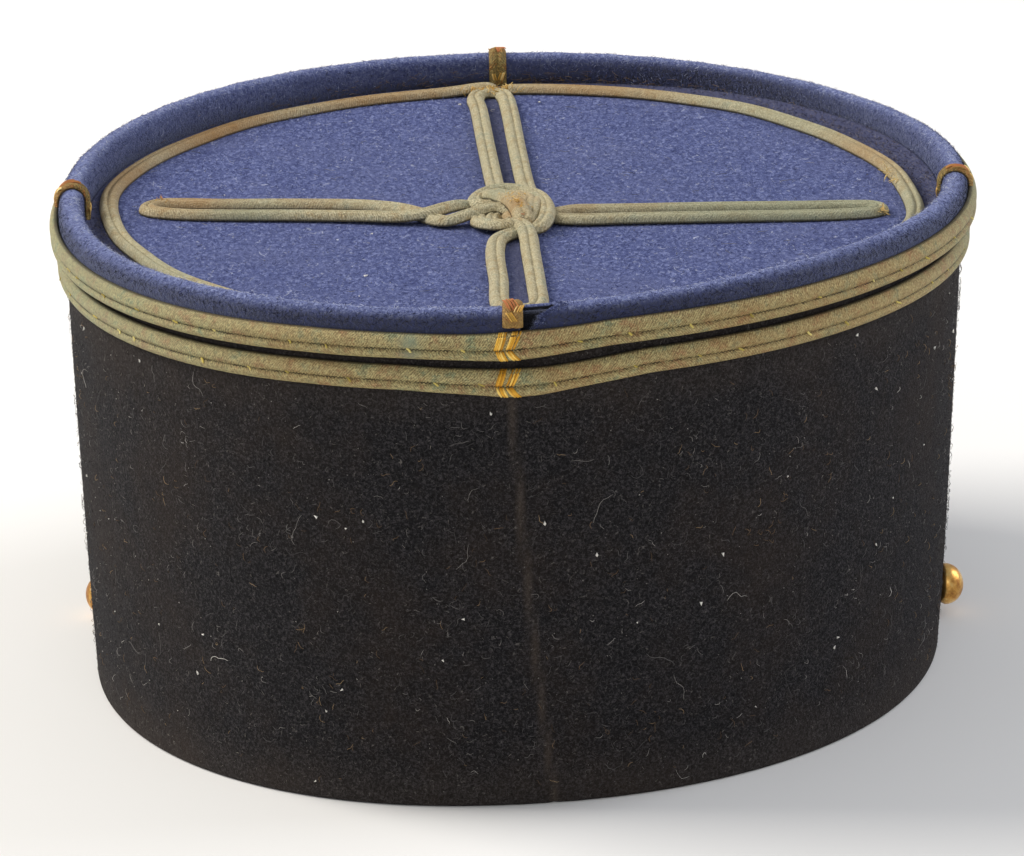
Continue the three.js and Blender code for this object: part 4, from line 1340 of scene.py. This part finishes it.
def band_lint(rng, count, shortest, longest, clumped):
    """Curls wrapped on the band's outer face; a share of them lies in small clumps."""
    flat = curls(rng, count, shortest, longest)
    clump = rng.integers(0, CLUMPS, count)
    gathered = (rng.uniform(0, 1, count) < clumped)[:, None]
    middle = rng.uniform(0, 2 * np.pi, CLUMPS)[clump, None] + rng.normal(0, 0.025, (count, 1))
    level = rng.uniform(6, 76, CLUMPS)[clump, None] + rng.normal(0, 2.2, (count, 1))
    angle = np.where(gathered, middle, rng.uniform(0, 2 * np.pi, (count, 1))) + flat[..., 0] / BAND_RADIUS
    z = np.clip(np.where(gathered, level, rng.uniform(4, 78, (count, 1))) + flat[..., 1], 2, 81)
    points, normal = on_band(angle, z)
    return points + normal * (0.15 + 0.3 * np.sin(np.linspace(0, np.pi, CURL_STEPS)))[:, None]


def top_lint(rng, count, shortest, longest):
    """Curls laid on the sunk top."""
    flat = curls(rng, count, shortest, longest)
    angle = rng.uniform(0, 2 * np.pi, (count, 1))
    reach = np.sqrt(rng.uniform(0, 0.9, (count, 1)))
    middle = reach[..., None] * oval(TOP_HALF, angle)
    return lifted(middle + flat, ON_TOP + 0.15)


rng = np.random.default_rng(81)
paths = np.concatenate([band_lint(rng, 2000, 0.6, 2.6, 0.35), band_lint(rng, 110, 3, 8, 0.0),
                        top_lint(rng, 140, 1, 4)])
fibres = threads("lint_fibres", paths, rng.uniform(0.025, 0.055, len(paths)),
                 rng.beta(2, 1.9, len(paths)), sides=3)
dress(fibres, lint, "black_felt")
paths = band_lint(rng, 900, 0.6, 2.4, 0.3)
brown_fibres = threads("brown_band_lint", paths, 0.045, rng.uniform(0, 1, len(paths)), sides=3)
dress(brown_fibres, brown_lint, "black_felt")

FRONT_LINT = 260
flat = curls(rng, FRONT_LINT, 1, 4)
angle = np.pi / 2 - rng.normal(0.1, 0.35, (FRONT_LINT, 1)) - flat[..., 0] / FRONT_RADIUS
over = np.pi + rng.triangular(0.2, 1.5, 1.6, (FRONT_LINT, 1)) + 0.15 * flat[..., 1]
points, normal = on_rim(angle, over)
brown = threads("brown_front_lint", points + 0.3 * normal, 0.035, rng.uniform(0, 1, FRONT_LINT), sides=3)
dress(brown, brown_lint, "blue_cloth")

BAND_SPECKS = 1800
TOP_SPECKS = 260
points, normal = on_band(rng.uniform(0, 2 * np.pi, BAND_SPECKS), rng.uniform(3, 79, BAND_SPECKS))
top_points, top_normal = on_top(np.sqrt(rng.uniform(0, 1, TOP_SPECKS)),
                                rng.uniform(0, 2 * np.pi, TOP_SPECKS))
points = np.concatenate([points + 0.1 * normal, top_points + 0.1 * top_normal])
ahead = lie(rng, np.concatenate([normal, top_normal]), np.full(len(points), 0.3))
bright = rng.uniform(0, 1, len(points)) > 0.95
size = rng.uniform(0.05, 0.13, len(points)) * (1 + 2 * bright)
tone = np.where(bright, 1.0, rng.uniform(0.3, 0.95, len(points)))
specks = spikes("dust_specks", points, ahead, 2.2 * size, size, tone)
dress(specks, lint, "black_felt")

# %% [markdown]
# ## Floor and light
# The hat stands on a plain pale floor. The photograph's light is broad and soft, from the left and a little
# from behind, with a weaker one on the right, so the left of the roll is bright and both the near side of
# the roll and the inner wall at the far side are dim.

# %% Floor and light
FLOOR_HALF = 4.0
floor_mesh = bpy.data.meshes.new("floor")
floor_mesh.from_pydata([(-FLOOR_HALF, -FLOOR_HALF, 0), (FLOOR_HALF, -FLOOR_HALF, 0),
                        (FLOOR_HALF, FLOOR_HALF, 0), (-FLOOR_HALF, FLOOR_HALF, 0)], [], [(0, 1, 2, 3)])
floor = bpy.data.objects.new("floor", floor_mesh)
bpy.context.scene.collection.objects.link(floor)
floor_mesh.materials.append(new_material("pale_floor", Base_Color="#f2f1ef", Roughness=0.9)[0])


def soft_light(name, place, size, power, colour):
    """A square area light at a place in metres, turned to the hat."""
    lamp = bpy.data.lights.new(name, "AREA")
    lamp.size = size
    lamp.energy = power
    lamp.color = linear(colour)[:3]
    light = bpy.data.objects.new(name, lamp)
    light.location = place
    towards = Vector((0, HAT_Y * MM, 0.06)) - Vector(place)
    light.rotation_euler = towards.to_track_quat("-Z", "Y").to_euler()
    bpy.context.scene.collection.objects.link(light)


soft_light("key", (-1.4, 0.45, 1.25), 1.0, 38, "#fffaf2")
soft_light("right", (1.5, 0.4, 0.9), 1.0, 14, "#f6f8ff")
soft_light("fill", (0.1, -1.7, 0.8), 1.4, 6, "#ffffff")
world = bpy.data.worlds.new("studio")
world.use_nodes = True
world.node_tree.nodes["Background"].inputs["Color"].default_value = linear("#f4f6fa")
world.node_tree.nodes["Background"].inputs["Strength"].default_value = 0.43
bpy.context.scene.world = world
bpy.context.scene.view_settings.view_transform = "Standard"
